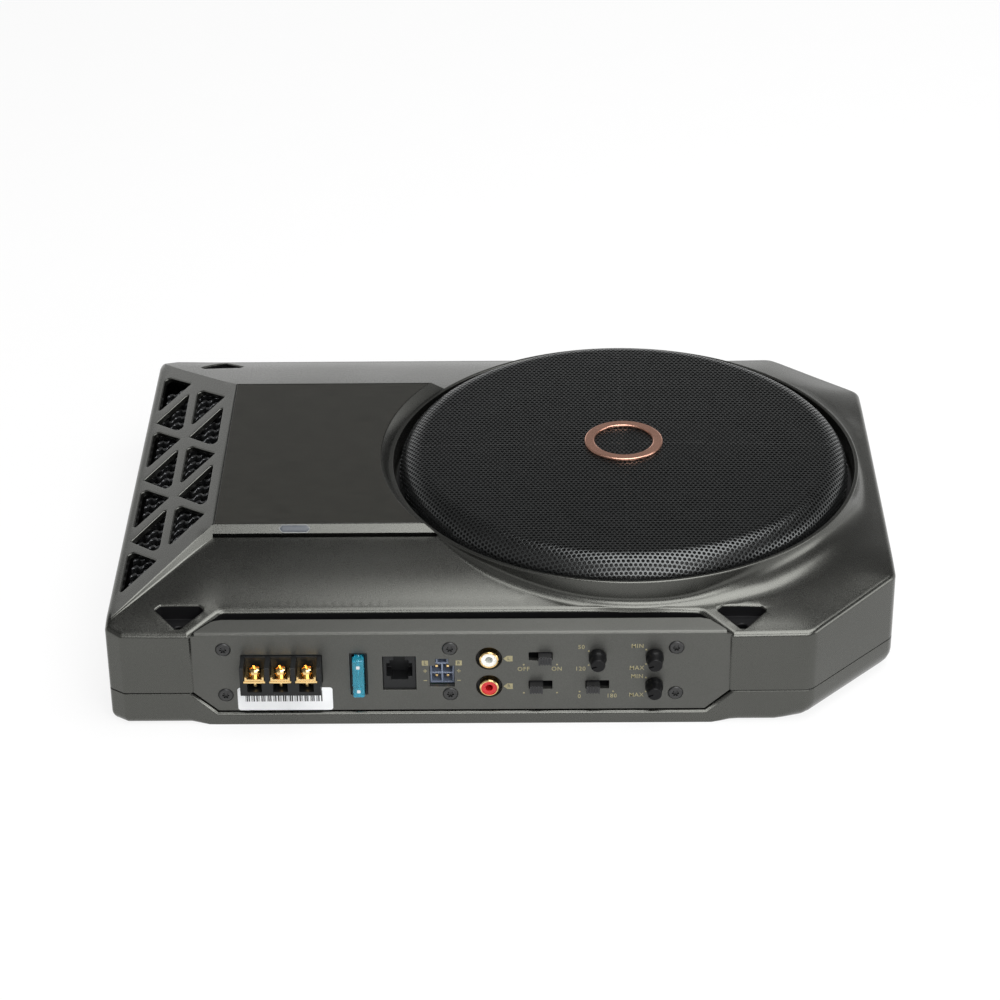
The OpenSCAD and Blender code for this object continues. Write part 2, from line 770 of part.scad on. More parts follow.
// A screw along Y with a star recess in its head; the head's seat lies at y = 0
module panel_screw() {
    difference() {
        union() {
            translate([0, -head_h, 0]) rotate([-90, 0, 0])
                cylinder(r1 = screw_head_r - head_ease, r2 = screw_head_r, h = head_ease, $fn = 48);
            along_y([0, head_ease - head_h, 0], screw_head_r, head_h - head_ease);
            along_y([0, 0, 0], screw_r, panel_t - head_sunk + screw_bite);
        }
        for (i = [0:2]) rotate([0, i * 60, 0])
            translate([-star_l / 2, -head_h - over, -star_w / 2]) cube([star_l, over + star_w, star_w]);
    }
}

module panel_screws() {
    color("#3a3c39") screw_spots() translate([0, head_sunk, 0]) panel_screw();
}

module casing_screws() {
    head = casing_head_z - head_ease;
    color("#2b2c2b") for (p = posts) translate([p.x, p.y, casing_head_z]) rotate([90, 0, 0]) difference() {
        union() {
            along_y([0, -head, 0], screw_head_r, head);
            along_y([0, 0, 0], screw_r, cover_z - casing_head_z + casing_bite);
        }
        for (i = [0, 1]) rotate([0, i * 90, 0])
            translate([-star_l / 2, -head - over, -star_w / 2]) cube([star_l, over + star_w, star_w]);
    }
}

// Driver
module grille() {
    r = grille_r;
    e = grille_edge;
    top = grille_top - grille_rise;
    rings = 4;
    // Skirt, rounded edge and shallow crown, drawn d inside the outer face
    function skin(d) = concat(
        [[r - d, grille_z]],
        [for (a = [0:9:90]) [r - e + (e - d) * cos(a), top - e + (e - d) * sin(a)]],
        [for (i = [1:rings]) let (u = 1 - i / rings)
            [(r - e) * u, top - d + grille_rise * (1 - u * u)]]);
    inner = skin(grille_t);
    color("#161616") at_driver() difference() {
        rotate_extrude($fn = 180)
            polygon(concat(skin(0), [for (i = [len(inner) - 1:-1:0]) inner[i]]));
        mesh_openings(top - grille_t - over, grille_rise + grille_t + 2 * over);
    }
}

// Staggered openings that stand for the fine mesh, clear of the badge and of the rounded edge
module mesh_openings(z, h) {
    row_step = mesh_pitch * sin(60);
    least = badge_r + mesh_r + grille_t;
    most = grille_r - grille_edge - mesh_r;
    n = ceil(most / row_step);
    for (row = [-n:n], column = [-n:n]) {
        p = [(column + abs(row) % 2 / 2) * mesh_pitch, row * row_step];
        if (norm(p) > least && norm(p) < most)
            translate([p.x, p.y, z]) rotate([0, 0, 30]) cylinder(r = mesh_r, h = h, $fn = 6);
    }
}

module badge() {
    lift = grille_rise * pow((badge_r - badge_band) / (grille_r - grille_edge), 2);
    color("#c98f73") at_driver() ring(badge_r, badge_r - badge_band, badge_h, grille_top - lift);
}

module driver_spots() {
    step = 360 / driver_screws_n;
    at_driver() for (a = [step / 2:step:360])
        rotate([0, 0, a]) translate([driver_screw_r, 0, 0]) children();
}

module basket_outer(d) {
    rotate_extrude($fn = 180) polygon([
        [0, basket_z], [basket_foot_r - d, basket_z], [basket_side_r - d, ledge_z - 2 * basket_t],
        [basket_side_r - d, ledge_z], [0, ledge_z]]);
}

module basket() {
    window_w = 28;
    window_x = basket_foot_r + window_w / 3.5;
    window_z = basket_z + 2.5 * basket_t;
    window_top = ledge_z - 4 * basket_t;
    step_z = basket_z + basket_t;
    color("#222323") difference() {
        at_driver() {
            difference() {
                union() {
                    basket_outer(0);
                    ring(flange_r, ledge_r - 2 * basket_t, flange_t, ledge_z);
                }
                translate([0, 0, basket_t]) basket_outer(basket_t);
                translate([0, 0, basket_z - over])
                    cylinder(r = gap_r + basket_t, h = 2 * over + basket_t, $fn = 96);
                for (i = [0:5]) rotate([0, 0, i * 60]) translate([window_x, -window_w / 2, window_z])
                    cube([ledge_r, window_w, window_top - window_z]);
                translate([0, 0, ledge_z - over])
                    cylinder(r = basket_side_r - basket_t, h = 3 * over + flange_t, $fn = 180);
            }
            ring(spider_r + basket_t, spider_r - spider_lip, spider_z - step_z, step_z);
        }
        driver_spots() translate([0, 0, ledge_z - over])
            cylinder(r = screw_r + fit, h = 2 * over + flange_t, $fn = 32);
    }
}

module driver_gasket() {
    color("#101010") at_driver() ring(flange_r, flange_r - gasket_w, gasket_t, flange_z);
}

module driver_screws() {
    tip_z = ledge_z - wall - driver_bite;
    color("#2a2a2a") driver_spots() {
        translate([0, 0, flange_z]) cylinder(r = driver_head_r, h = driver_head_h, $fn = 32);
        translate([0, 0, tip_z]) cylinder(r = screw_r, h = flange_z - tip_z, $fn = 32);
    }
}

// Half roll of the surround with a flat lip on each side
module surround() {
    mid = (roll_r + cone_r) / 2;
    rad = (roll_r - cone_r) / 2;
    color("#0e0e0e") at_driver() rotate_extrude($fn = 180) {
        translate([roll_r - cone_t, flange_z]) square([roll_lip + cone_t, cone_t]);
        intersection() {
            difference() {
                translate([mid, flange_z]) circle(r = rad, $fn = 96);
                translate([mid, flange_z]) circle(r = rad - cone_t, $fn = 96);
            }
            translate([cone_r, flange_z]) square([2 * rad, rad]);
        }
    }
}

// The cone ends clear of the surround's inner lip and rests on the coil former
module cone() {
    edge = cone_r - slack;
    color("#1b1b1b") at_driver() rotate_extrude($fn = 180) polygon([
        [coil_r + coil_t, coil_z], [edge, flange_z], [edge, flange_z + cone_t],
        [edge - 3 * cone_t, flange_z + cone_t], [coil_r + coil_t, coil_z + cone_neck]]);
}

module dust_cap() {
    neck_r = coil_r + coil_t;
    seat = 2.2 * cone_t;
    foot = coil_z + cone_depth * (cap_r - neck_r) / (cone_r - neck_r) + seat;
    ball = (pow(cap_r, 2) + pow(cap_rise, 2)) / (2 * cap_rise);
    rings = 12;
    function arc(d) = [for (i = [0:rings]) let (x = cap_r * (1 - i / rings))
        [x, foot + d + sqrt(pow(ball, 2) - pow(x, 2)) - ball + cap_rise]];
    low = arc(0);
    color("#1b1b1b") at_driver() rotate_extrude($fn = 120)
        polygon(concat(arc(cone_t), [for (i = [len(low) - 1:-1:0]) low[i]]));
}

module voice_coil() {
    color("#b8763a") at_driver() ring(coil_r + coil_t, coil_r, coil_z + cone_neck - coil_low, coil_low);
}

// Corrugated suspension between the coil and the basket's step
module spider() {
    r0 = coil_r + coil_t + slack;
    r1 = spider_r - spider_lip - slack;
    lip = spider_r + spider_t;
    waves = 4;
    function wave(d) = [for (i = [0:4 * waves])
        [r0 + (r1 - r0) * i / (4 * waves), spider_z + d + spider_t * sin(90 * i)]];
    high = wave(spider_t);
    color("#c7a55a") at_driver() rotate_extrude($fn = 120) polygon(concat(
        wave(0), [[lip, spider_z], [lip, spider_z + spider_t]],
        [for (i = [len(high) - 1:-1:0]) high[i]]));
}

module top_plate() {
    color("#8d9094") at_driver() ring(magnet_r - plate_in, gap_r, pole_t, gap_z);
}

module magnet() {
    color("#2f3033") at_driver() ring(magnet_r, gap_r + plate_in, magnet_h, magnet_z);
}

module pole_yoke() {
    color("#8d9094") at_driver() difference() {
        union() {
            translate([0, 0, magnet_z - pole_t])
                cylinder(r = magnet_r - plate_in, h = pole_t, $fn = 120);
            translate([0, 0, magnet_z - over])
                cylinder(r = pole_r, h = magnet_h + pole_t + over, $fn = 96);
        }
        translate([0, 0, magnet_z - pole_t - over]) cylinder(r = yoke_bore_r, h = huge, $fn = 48);
    }
}

module driver_terminals() {
    bar_w = 16;
    bar_t = 2;
    bar_z = spider_z;
    bar_l = (basket_side_r - basket_foot_r) * 0.6;
    tab_w = 3;
    tab_t = 1;
    tab_l = 10;
    turn = 210;
    color("#c8b27a") at_driver() difference() {
        rotate([0, 0, turn]) {
            translate([basket_foot_r, -bar_w / 2, bar_z]) cube([bar_l, bar_w, bar_t]);
            for (s = [-1, 1])
                translate([basket_foot_r + bar_l - tab_l / 2, s * bar_w / 3 - tab_w / 2, bar_z - tab_t])
                    cube([tab_l, tab_w, tab_t]);
        }
        basket_outer(0);
    }
}

// Amplifier
module amplifier_board() {
    color("#1d4d2b") difference() {
        translate([amp_x0, -amp_half_d, standoff_z]) cube([amp_x1 - amp_x0, 2 * amp_half_d, amp_t]);
        for (p = amp_fixings) translate([p.x, p.y, standoff_z - over])
            cylinder(r = screw_r + fit, h = 3 * over + amp_t, $fn = 32);
    }
}

module board_screws() {
    head_r = screw_r + 1.1;
    bite = amp_z - floor_t - 1.6;
    color("#9a9c9c") for (p = amp_fixings) translate([p.x, p.y, amp_z]) {
        cylinder(r = head_r, h = amp_t, $fn = 32);
        translate([0, 0, -bite]) cylinder(r = screw_r, h = bite + over, $fn = 32);
    }
}

sink_half_d = amp_half_d - sink_edge;
fins_n = floor(2 * sink_half_d / fin_pitch);

module heat_sink() {
    x0 = x_left + wall + fin_gap;
    steps = floor((sink_x - x0) / (fin_zig / 2));
    dx = (sink_x + over - x0) / steps;
    function zig(d) = [for (i = [0:steps]) [x0 + i * dx, d + (i % 2 == 0 ? 0 : fin_throw)]];
    far = zig(fin_t);
    color("#151617") intersection() {
        union() {
            translate([sink_x, -sink_half_d, standoff_z]) cube([sink_back, 2 * sink_half_d, huge]);
            translate([x0, -sink_half_d, standoff_z])
                cube([sink_x - x0, 2 * sink_half_d, sink_foot]);
            for (i = [0:fins_n - 1])
                translate([0, -sink_half_d + i * fin_pitch + fin_throw / 2, standoff_z])
                    linear_extrude(huge) polygon(concat(zig(0), [for (k = [len(far) - 1:-1:0]) far[k]]));
        }
        below([x_left, 0, left_edge_z - wall - fin_gap], [0, -vent_tilt, 0]);
        translate([0, 0, crown_cz]) rotate([0, 90, 0])
            cylinder(r = crown_r - wall - fin_gap, h = 2 * body_w, center = true, $fn = 180);
    }
}

module power_transistors() {
    pitch = 30;
    w = 16;
    t = 4.6;
    h = 20;
    leg_pitch = 5;
    leg_l = 5;
    leg_w = 1.2;
    leg_t = 0.8;
    color("#1a1a1c") for (i = [-2:2]) translate([plate_x, i * pitch, amp_z]) {
        translate([0, -w / 2, leg_l]) cube([t, w, h]);
        for (k = [-1:1]) translate([t / 2 - leg_t / 2, k * leg_pitch - leg_w / 2, 0])
            cube([leg_t, leg_w, leg_l + over]);
    }
}

module filter_capacitors() {
    r = 9;
    h = 30;
    crimp = 0.4;
    crimp_z = 2;
    row_x = amp_x0 + 3 * r;
    row_y = amp_half_d * 0.4;
    gap = 6;
    pitch = 2 * r + gap;
    color("#23252b") for (x = [0, 1], y = [-0.5, 0.5])
        translate([row_x + pitch * x, row_y + pitch * y, amp_z]) rotate_extrude($fn = 64) polygon([
            [0, 0], [r, 0], [r, crimp_z], [r - crimp, crimp_z + crimp],
            [r - crimp, crimp_z + 3 * crimp], [r, crimp_z + 4 * crimp],
            [r, h - over], [r - over, h], [0, h]]);
}

module inductors() {
    ring_r = 10;
    wire_r = 6;
    pitch = 44;
    row_x = amp_x0 + 3.6 * ring_r;
    row_y = -amp_half_d * 0.4;
    color("#9c5a2a") for (y = [-0.5, 0.5]) translate([row_x, pitch * y + row_y, amp_z])
        rotate_extrude($fn = 64) translate([ring_r, wire_r]) circle(r = wire_r, $fn = 48);
}

control_edge = 3;
control_x0 = -jack_left - jack_w / 2 - control_edge;
control_x1 = panel_x + recess_half_w - recess_d - control_edge;

module control_board() {
    room = boss_r + slack;
    color("#1d4d2b") difference() {
        translate([control_x0, board_y, floor_t])
            cube([control_x1 - control_x0, amp_t, screw_hi + control_edge - floor_t]);
        for (x = screw_columns)
            translate([x - room, board_y - over, screw_hi - room]) cube([2 * room, 4 * over, huge]);
    }
}

// Terminal block
terminal_pitch = (block_w - 2 * end_wall + barrier_t) / 3;
bay_w = terminal_pitch - barrier_t;
bay_z = block_z + contact_up;
contact_w = bay_w + 0.5;
contact_t = 1;
clamp_z = bay_z + contact_t;
clamp_t = 1;
clamp_half = bay_w / 2 - slack;
clamp_rim = 0.9;
washer_t = 1.4;
washer_r = terminal_r + 0.9;
terminal_head_r = terminal_r + 1.4;
bay_back = panel_y - over;
clamp_gap = 0.2;
terminal_y = bay_back - clamp_gap - clamp_half;
wire_slot_w = 6.2;
wire_slot_z = block_z + 1.8;
tail_w = 4;
tail_l = 6;

module bays() {
    for (i = [-1:1]) translate([i * terminal_pitch - block_left, 0, 0]) children();
}

module terminal_block() {
    front = panel_y - block_out;
    mid = block_z + block_h / 2;
    flange = 2;
    color("#161718") difference() {
        union() {
            block(-block_left, mid, block_w, block_h, front, panel_back);
            block(-block_left, mid, block_w + 2 * flange, block_h + 2 * flange,
                panel_back, panel_back + 2 * flange);
        }
        bays() {
            translate([-bay_w / 2, front - over, bay_z]) cube([bay_w, bay_back - front + over, block_h]);
            translate([-wire_slot_w / 2, front - over, wire_slot_z])
                cube([wire_slot_w, bay_back - front + over, bay_z - wire_slot_z + over]);
            translate([-contact_w / 2 - fit, front - over, bay_z])
                cube([contact_w + 2 * fit, bay_back - front + over, contact_t + fit]);
            translate([-tail_w / 2 - fit, front, bay_z])
                cube([tail_w + 2 * fit, block_out + panel_t + tail_l, contact_t + fit]);
        }
    }
}

module terminal_contacts() {
    front = panel_y - block_out + slack;
    color("#d2a54a") bays() difference() {
        union() {
            translate([-contact_w / 2, front, bay_z]) cube([contact_w, bay_back - fit - front, contact_t]);
            translate([-tail_w / 2, terminal_y, bay_z])
                cube([tail_w, panel_back + tail_l - terminal_y, contact_t]);
        }
        translate([0, terminal_y, bay_z - over])
            cylinder(r = terminal_r + run_fit, h = contact_t + 2 * over, $fn = 48);
    }
}

// A square clamping plate with two upturned edges, n counted from the left
module clamp(n) {
    half = clamp_half;
    color("#e2bd6a") translate([(n - 2) * terminal_pitch - block_left, terminal_y, clamp_z]) difference() {
        union() {
            translate([-half, -half, 0]) cube([2 * half, 2 * half, clamp_t]);
            for (s = [-1, 1]) translate([s * (half - clamp_rim / 2) - clamp_rim / 2, -half, 0])
                cube([clamp_rim, 2 * half, clamp_t + clamp_rim]);
        }
        translate([0, 0, -over]) cylinder(r = terminal_r + run_fit, h = clamp_t + 2 * over, $fn = 48);
    }
}

module clamp_1() clamp(1);
module clamp_2() clamp(2);
module clamp_3() clamp(3);

// A cross-headed screw with its lock washer, standing on the clamp
module terminal_screw(n) {
    z = clamp_z + clamp_t;
    r = terminal_head_r;
    ease = 0.5;
    tip = bay_z - clamp_lift - 2 * over - z;
    head_rim = 0.8;
    dome = 1.4;
    cross_w = 0.9;
    cross_turn = 20;
    color("#e2bd6a") translate([(n - 2) * terminal_pitch - block_left, terminal_y, z]) difference() {
        union() {
            translate([0, 0, tip]) cylinder(r1 = terminal_r - ease, r2 = terminal_r, h = ease, $fn = 48);
            translate([0, 0, tip + ease]) cylinder(r = terminal_r, h = -tip, $fn = 48);
            cylinder(r = washer_r, h = washer_t, $fn = 48);
            translate([0, 0, washer_t]) rotate_extrude($fn = 64) polygon(concat(
                [[0, 0], [r, 0]],
                [for (a = [0:15:90]) [r * cos(a), head_rim + dome * sin(a)]]));
        }
        for (a = [0, 90]) rotate([0, 0, a + cross_turn])
            translate([cross_w - r, -cross_w / 2, washer_t + head_rim])
                cube([2 * (r - cross_w), cross_w, 2 * dome]);
    }
}

module terminal_screw_1() terminal_screw(1);
module terminal_screw_2() terminal_screw(2);
module terminal_screw_3() terminal_screw(3);

// Fuse and its holder
fuse_room_w = fuse_t + 2 * slack;
fuse_room_h = fuse_w + 2 * slack;
holder_wall = 0.8;
holder_sunk = 0.4;
fuse_collar_w = fuse_room_w + 2 * holder_wall;
fuse_collar_h = fuse_room_h + 2 * holder_wall;
fuse_front = panel_y - fuse_out;
fuse_seat = fuse_front + fuse_l;
fuse_head = 4;
fuse_waist = 1.2;
blade_w = 5.2;
blade_t = 0.7;
blade_in = 0.8;
blade_dz = (fuse_w - blade_w) / 2 - blade_in;

module fuse_holder() {
    back = fuse_seat + blade_l + 2 * over;
    color("#1a1b1c") difference() {
        union() {
            block(-fuse_left, fuse_z, fuse_collar_w, fuse_collar_h, panel_y + holder_sunk, back);
            block(-fuse_left, fuse_z, fuse_collar_w + 2 * holder_wall, fuse_collar_h + 2 * holder_wall,
                panel_back, back);
        }
        block(-fuse_left, fuse_z, fuse_room_w, fuse_room_h, fuse_front, fuse_seat);
        for (s = [-1, 1]) block(-fuse_left, fuse_z + s * blade_dz, blade_t + 2 * slack, blade_w + 2 * slack,
            fuse_seat - over, fuse_seat + blade_l + slack);
    }
}

module fuse() {
    color("#0e8fb0") {
        block(-fuse_left, fuse_z, fuse_t, fuse_w, fuse_front, fuse_front + fuse_head);
        block(-fuse_left, fuse_z, fuse_t - 2 * holder_sunk, fuse_w - 2 * fuse_waist,
            fuse_front + fuse_head - over, fuse_seat);
        for (s = [-1, 1]) block(-fuse_left, fuse_z + s * blade_dz, blade_t, blade_w,
            fuse_seat - over, fuse_seat + blade_l);
    }
}

// Sockets
jack_sunk = 1;
inlet_sunk = 3;
latch_w = 5.4;
latch_h = 4.6;
latch_z = inlet_z + (inlet_h + latch_h) / 2;

module remote_jack() {
    rim = 0.6;
    mouth_w = jack_w - 5 * rim;
    mouth_h = 6.8;
    step_w = 8.2;
    step_h = 1.6;
    key_w = 4.8;
    key_h = 1.8;
    foot_w = 7.4;
    deep = 7.5;
    top = jack_z + jack_h / 2 - rim;
    key_low = top - key_h - step_h;
    front = panel_y + jack_sunk;
    color("#202122") difference() {
        block(-jack_left, jack_z, jack_w, jack_h, front, board_y);
        block(-jack_left, (top + key_low) / 2, key_w, top - key_low, front - over, front + deep);
        block(-jack_left, key_low + step_h / 2, step_w, step_h, front - over, front + deep);
        block(-jack_left, key_low - mouth_h / 2, mouth_w, mouth_h, front - over, front + deep);
        block(-jack_left, key_low - mouth_h - step_h / 2, foot_w, step_h, front - over, front + deep);
    }
}

inlet_wall = 0.8;
pin_w = 1;
pin_in = 1.5;
cell_w = (inlet_w - 3 * inlet_wall) / 2;
cell_h = (inlet_h - 3 * inlet_wall) / 2;

module inlet_cells() {
    dx = (cell_w + inlet_wall) / 2;
    dz = (cell_h + inlet_wall) / 2;
    for (sx = [-1, 1], sz = [-1, 1]) translate([sx * dx - inlet_left, 0, inlet_z + sz * dz]) children();
}

module speaker_inlet() {
    front = panel_y + inlet_sunk;
    color("#23262e") difference() {
        union() {
            block(-inlet_left, inlet_z, inlet_w, inlet_h, front, board_y);
            block(-inlet_left, latch_z - over, latch_w, latch_h, front, board_y);
        }
        inlet_cells() block(0, 0, cell_w, cell_h, front - over, board_y - 2 * over);
        inlet_cells() block(0, 0, pin_w + fit, pin_w + fit, front, board_y + over);
        block(-inlet_left, latch_z - inlet_wall, latch_w - 2 * inlet_wall,
            latch_h - 2 * inlet_wall, front - over, board_y - 3 * over);
    }
}

module speaker_pins() {
    color("#c9b37a") inlet_cells() block(0, 0, pin_w, pin_w, panel_y + inlet_sunk + pin_in, board_y);
}

phono_z = [phono_lo, phono_hi];
barrel_t = 0.65;
barrel_ease = 0.4;
phono_rim = 0.7;
phono_bore = phono_r - barrel_t;
insert_l = 8;
insert_in = 0.5;
insert_bore = 1.65;

module phono_block() {
    mid = (phono_lo + phono_hi) / 2;
    w = 2 * (phono_hole_r + phono_rim);
    color("#17181a") difference() {
        block(-phono_left, mid, w, phono_hi - phono_lo + w, panel_back, board_y);
        for (z = phono_z)
            along_y([-phono_left, panel_back - over, z], phono_r + fit, control_depth + 2 * over);
    }
}

module phono_barrels() {
    y0 = panel_y - phono_out;
    color("#d8ab52") for (z = phono_z) translate([-phono_left, y0, z]) rotate([-90, 0, 0]) difference() {
        union() {
            translate([0, 0, barrel_ease]) cylinder(r = phono_r, h = board_y - y0 - barrel_ease, $fn = 64);
            cylinder(r1 = phono_r - barrel_ease, r2 = phono_r, h = barrel_ease, $fn = 64);
        }
        translate([0, 0, -over]) cylinder(r = phono_bore, h = huge, $fn = 64);
    }
}

module phono_insert(z) {
    difference() {
        along_y([-phono_left, panel_y - phono_out + insert_in, z], phono_bore - run_fit, insert_l, 64);
        along_y([-phono_left, panel_y - phono_out - over, z], insert_bore, insert_l, 48);
    }
}

module phono_insert_white() {
    color("#e9e9e6") phono_insert(phono_hi);
}

module phono_insert_red() {
    color("#b3161a") phono_insert(phono_lo);
}

// Slide switches
switch_at = [[column[0], row_hi], [column[0], row_lo], [column[1], row_lo]];
knob_at = [[column[1], row_hi], [column[2], row_hi], [column[2], row_lo]];
slide_room = 4;
switch_wall = 1.3;
bush_r = 3.4;

module switch_spots() {
    for (p = switch_at) translate([p[0], 0, p[1]]) children();
}

module switch_bodies() {
    color("#1b1c1e") switch_spots() difference() {
        block(0, 0, slot_w + 2 * switch_wall, slot_h + 2 * switch_wall, panel_back, board_y);
        block(0, 0, slot_w, slot_h, panel_back - over, panel_back + slide_room);
    }
}

// A ribbed button at one end of its slot; side is -1 at the left end and 1 at the right
module slider(n, side) {
    front = panel_y - slider_out;
    grooves = 4;
    groove = 0.6;
    step = slider_w / (grooves + 1);
    p = switch_at[n];
    color("#232526") translate([p[0] + side * slider_travel / 2, 0, p[1]]) difference() {
        block(0, 0, slider_w, slider_h, front, panel_back + slide_room - slack);
        for (i = [1:grooves])
            block(i * step - slider_w / 2, 0, groove, 2 * slider_h, front - over, front + groove);
    }
}

module sense_slider() slider(0, 1);
module load_slider() slider(1, -1);
module phase_slider() slider(2, -1);

// Rotary controls
bore_l = panel_t + 6;
pot_w = 9.6;

module knob_spots() {
    for (p = knob_at) translate([p[0], 0, p[1]]) children();
}

module potentiometers() {
    color("#1b1c1e") knob_spots() difference() {
        union() {
            block(0, 0, pot_w, pot_w, panel_back, board_y);
            along_y([0, panel_y, 0], bush_r, panel_t + over);
        }
        along_y([0, panel_y - over, 0], shaft_r + run_fit, bore_l + over);
    }
}

// A tapered knob with a pointer slot in its face, turned toward the lower left
module knob(n) {
    pointer_w = 0.7;
    pointer_turn = 160;
    ease = 0.3;
    skirt = knob_out / 3;
    neck = knob_out / 2;
    color("#151616") translate([knob_at[n][0], panel_y, knob_at[n][1]]) difference() {
        union() {
            rotate([90, 0, 0]) rotate_extrude($fn = 64) polygon([
                [0, slack], [knob_r - ease, slack], [knob_r, slack + ease], [knob_r, skirt],
                [knob_tip_r + ease, neck], [knob_tip_r, knob_out - ease],
                [knob_tip_r - ease, knob_out], [0, knob_out]]);
            along_y([0, -slack - over, 0], shaft_r, over + bore_l);
        }
        rotate([0, pointer_turn, 0]) translate([pointer_w, -knob_out - over, -pointer_w / 2])
            cube([knob_r, over + pointer_w, pointer_w]);
    }
}

module crossover_knob() knob(0);
module level_knob() knob(1);
module boost_knob() knob(2);

module blank_label() {
    label_t = 0.15;
    label_left = block_left + block_w / 2 + 2.4;
    color("#e4e6e6") translate([-label_left, panel_y - label_t, panel_z + slack])
        cube([label_w, label_t, label_h]);
}

base_tray();
casing_seal();
top_cover();
display_inlay();
indicator_lights();
control_panel();
panel_screws();
casing_screws();
grille();
badge();
basket();
driver_gasket();
driver_screws();
surround();
cone();
dust_cap();
voice_coil();
spider();
top_plate();
magnet();
pole_yoke();
driver_terminals();
amplifier_board();
board_screws();
heat_sink();
power_transistors();
filter_capacitors();
inductors();
control_board();
terminal_block();
terminal_contacts();
clamp_1();
clamp_2();
clamp_3();
terminal_screw_1();
terminal_screw_2();
terminal_screw_3();
fuse_holder();
fuse();
remote_jack();
speaker_inlet();
speaker_pins();
phono_block();
phono_barrels();
phono_insert_white();
phono_insert_red();
switch_bodies();
sense_slider();
load_slider();
phase_slider();
potentiometers();
crossover_knob();
level_knob();
boost_knob();
blank_label();
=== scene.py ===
# Powered car subwoofer: finishes, fine shapes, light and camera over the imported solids.
import json
import math
import bmesh
import bpy
from mathutils import Matrix, Vector
from mathutils.geometry import delaunay_2d_cdt

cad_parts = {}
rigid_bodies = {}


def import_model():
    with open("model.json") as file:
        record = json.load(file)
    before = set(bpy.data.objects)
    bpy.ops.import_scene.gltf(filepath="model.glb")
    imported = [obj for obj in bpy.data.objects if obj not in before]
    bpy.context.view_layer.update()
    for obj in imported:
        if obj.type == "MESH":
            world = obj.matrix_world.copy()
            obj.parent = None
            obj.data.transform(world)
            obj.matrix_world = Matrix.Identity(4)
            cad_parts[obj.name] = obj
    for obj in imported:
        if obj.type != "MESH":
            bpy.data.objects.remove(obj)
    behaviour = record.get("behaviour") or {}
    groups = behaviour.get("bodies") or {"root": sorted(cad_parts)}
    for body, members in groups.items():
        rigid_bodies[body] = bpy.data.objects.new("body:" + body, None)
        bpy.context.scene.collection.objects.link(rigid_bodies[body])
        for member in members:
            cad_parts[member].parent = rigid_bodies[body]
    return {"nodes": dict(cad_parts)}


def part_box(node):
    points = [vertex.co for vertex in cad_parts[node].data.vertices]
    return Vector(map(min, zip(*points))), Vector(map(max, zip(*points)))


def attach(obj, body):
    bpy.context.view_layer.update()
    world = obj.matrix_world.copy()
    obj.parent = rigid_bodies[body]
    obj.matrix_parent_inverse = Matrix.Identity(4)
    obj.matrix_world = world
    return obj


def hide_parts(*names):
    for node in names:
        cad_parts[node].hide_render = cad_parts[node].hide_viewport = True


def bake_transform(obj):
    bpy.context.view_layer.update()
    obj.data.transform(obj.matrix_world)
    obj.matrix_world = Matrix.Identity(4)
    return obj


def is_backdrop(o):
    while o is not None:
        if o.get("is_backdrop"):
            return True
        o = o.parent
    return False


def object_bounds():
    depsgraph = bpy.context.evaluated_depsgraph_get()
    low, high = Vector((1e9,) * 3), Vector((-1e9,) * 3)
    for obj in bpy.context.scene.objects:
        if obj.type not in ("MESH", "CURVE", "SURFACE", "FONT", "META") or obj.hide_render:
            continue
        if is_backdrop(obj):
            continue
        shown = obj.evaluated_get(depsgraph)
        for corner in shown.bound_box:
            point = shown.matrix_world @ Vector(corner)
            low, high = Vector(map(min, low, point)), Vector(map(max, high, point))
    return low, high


for leftover in list(bpy.data.objects):
    bpy.data.objects.remove(leftover)
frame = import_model()
cad_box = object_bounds()
scene = bpy.context.scene
scene.view_settings.view_transform = "Standard"

# Sizes are in millimetres, in the frame of the solids
MM = 0.001


def node_box(name):
    low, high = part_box(name)
    return Vector(low) / MM, Vector(high) / MM


casing_low, casing_high = node_box("base_tray")
X_LEFT, X_RIGHT = casing_low.x, casing_high.x
Y_FRONT, Y_REAR = casing_low.y, casing_high.y
SPLIT_Z = node_box("casing_seal")[0].z
COVER_Z = node_box("casing_seal")[1].z
PLATE_Z = node_box("display_inlay")[1].z
GRILLE_LOW, GRILLE_HIGH = node_box("grille")
DRIVER_X = (GRILLE_LOW.x + GRILLE_HIGH.x) / 2
GRILLE_R = (GRILLE_HIGH.x - GRILLE_LOW.x) / 2
PANEL_LOW, PANEL_HIGH = node_box("control_panel")
PANEL_X = (PANEL_LOW.x + PANEL_HIGH.x) / 2
PANEL_Y = PANEL_LOW.y

# Casing outline
LEFT_CHAMFER = (6.9, 4.6)
RIGHT_CHAMFER = (40.0, 41.5)
RECESS_HALF = 117.2
RECESS_DEEP = 13.4
WALL = 2.5
EDGE_ROUND = 2.4
SKIRT = -0.4
BASE_ROUND = 4.6
LIP_HALF, LIP_ROUND, LIP_FADE = 110.0, 0.5, 8.0
CORNER_ROUND, CORNER_FADE = 11.0, 14.0
FLOOR_Z, SPLIT_EASE = 3.0, 0.25
OPENING_GAP, OPENING_ROUND = 0.6, 1.7

# Connection panel
PANEL_HALF = 116.95
PANEL_FOOT = (11.0, 10.0)
FACE_TOP = 47.0
BEVEL_RISE, BEVEL_DEPTH, BEVEL_CUT, BEVEL_END = 1.6, 8.2, 8.0, 2.4
BEVEL_TILT = math.radians(77)
GUTTER_Z = 42.5

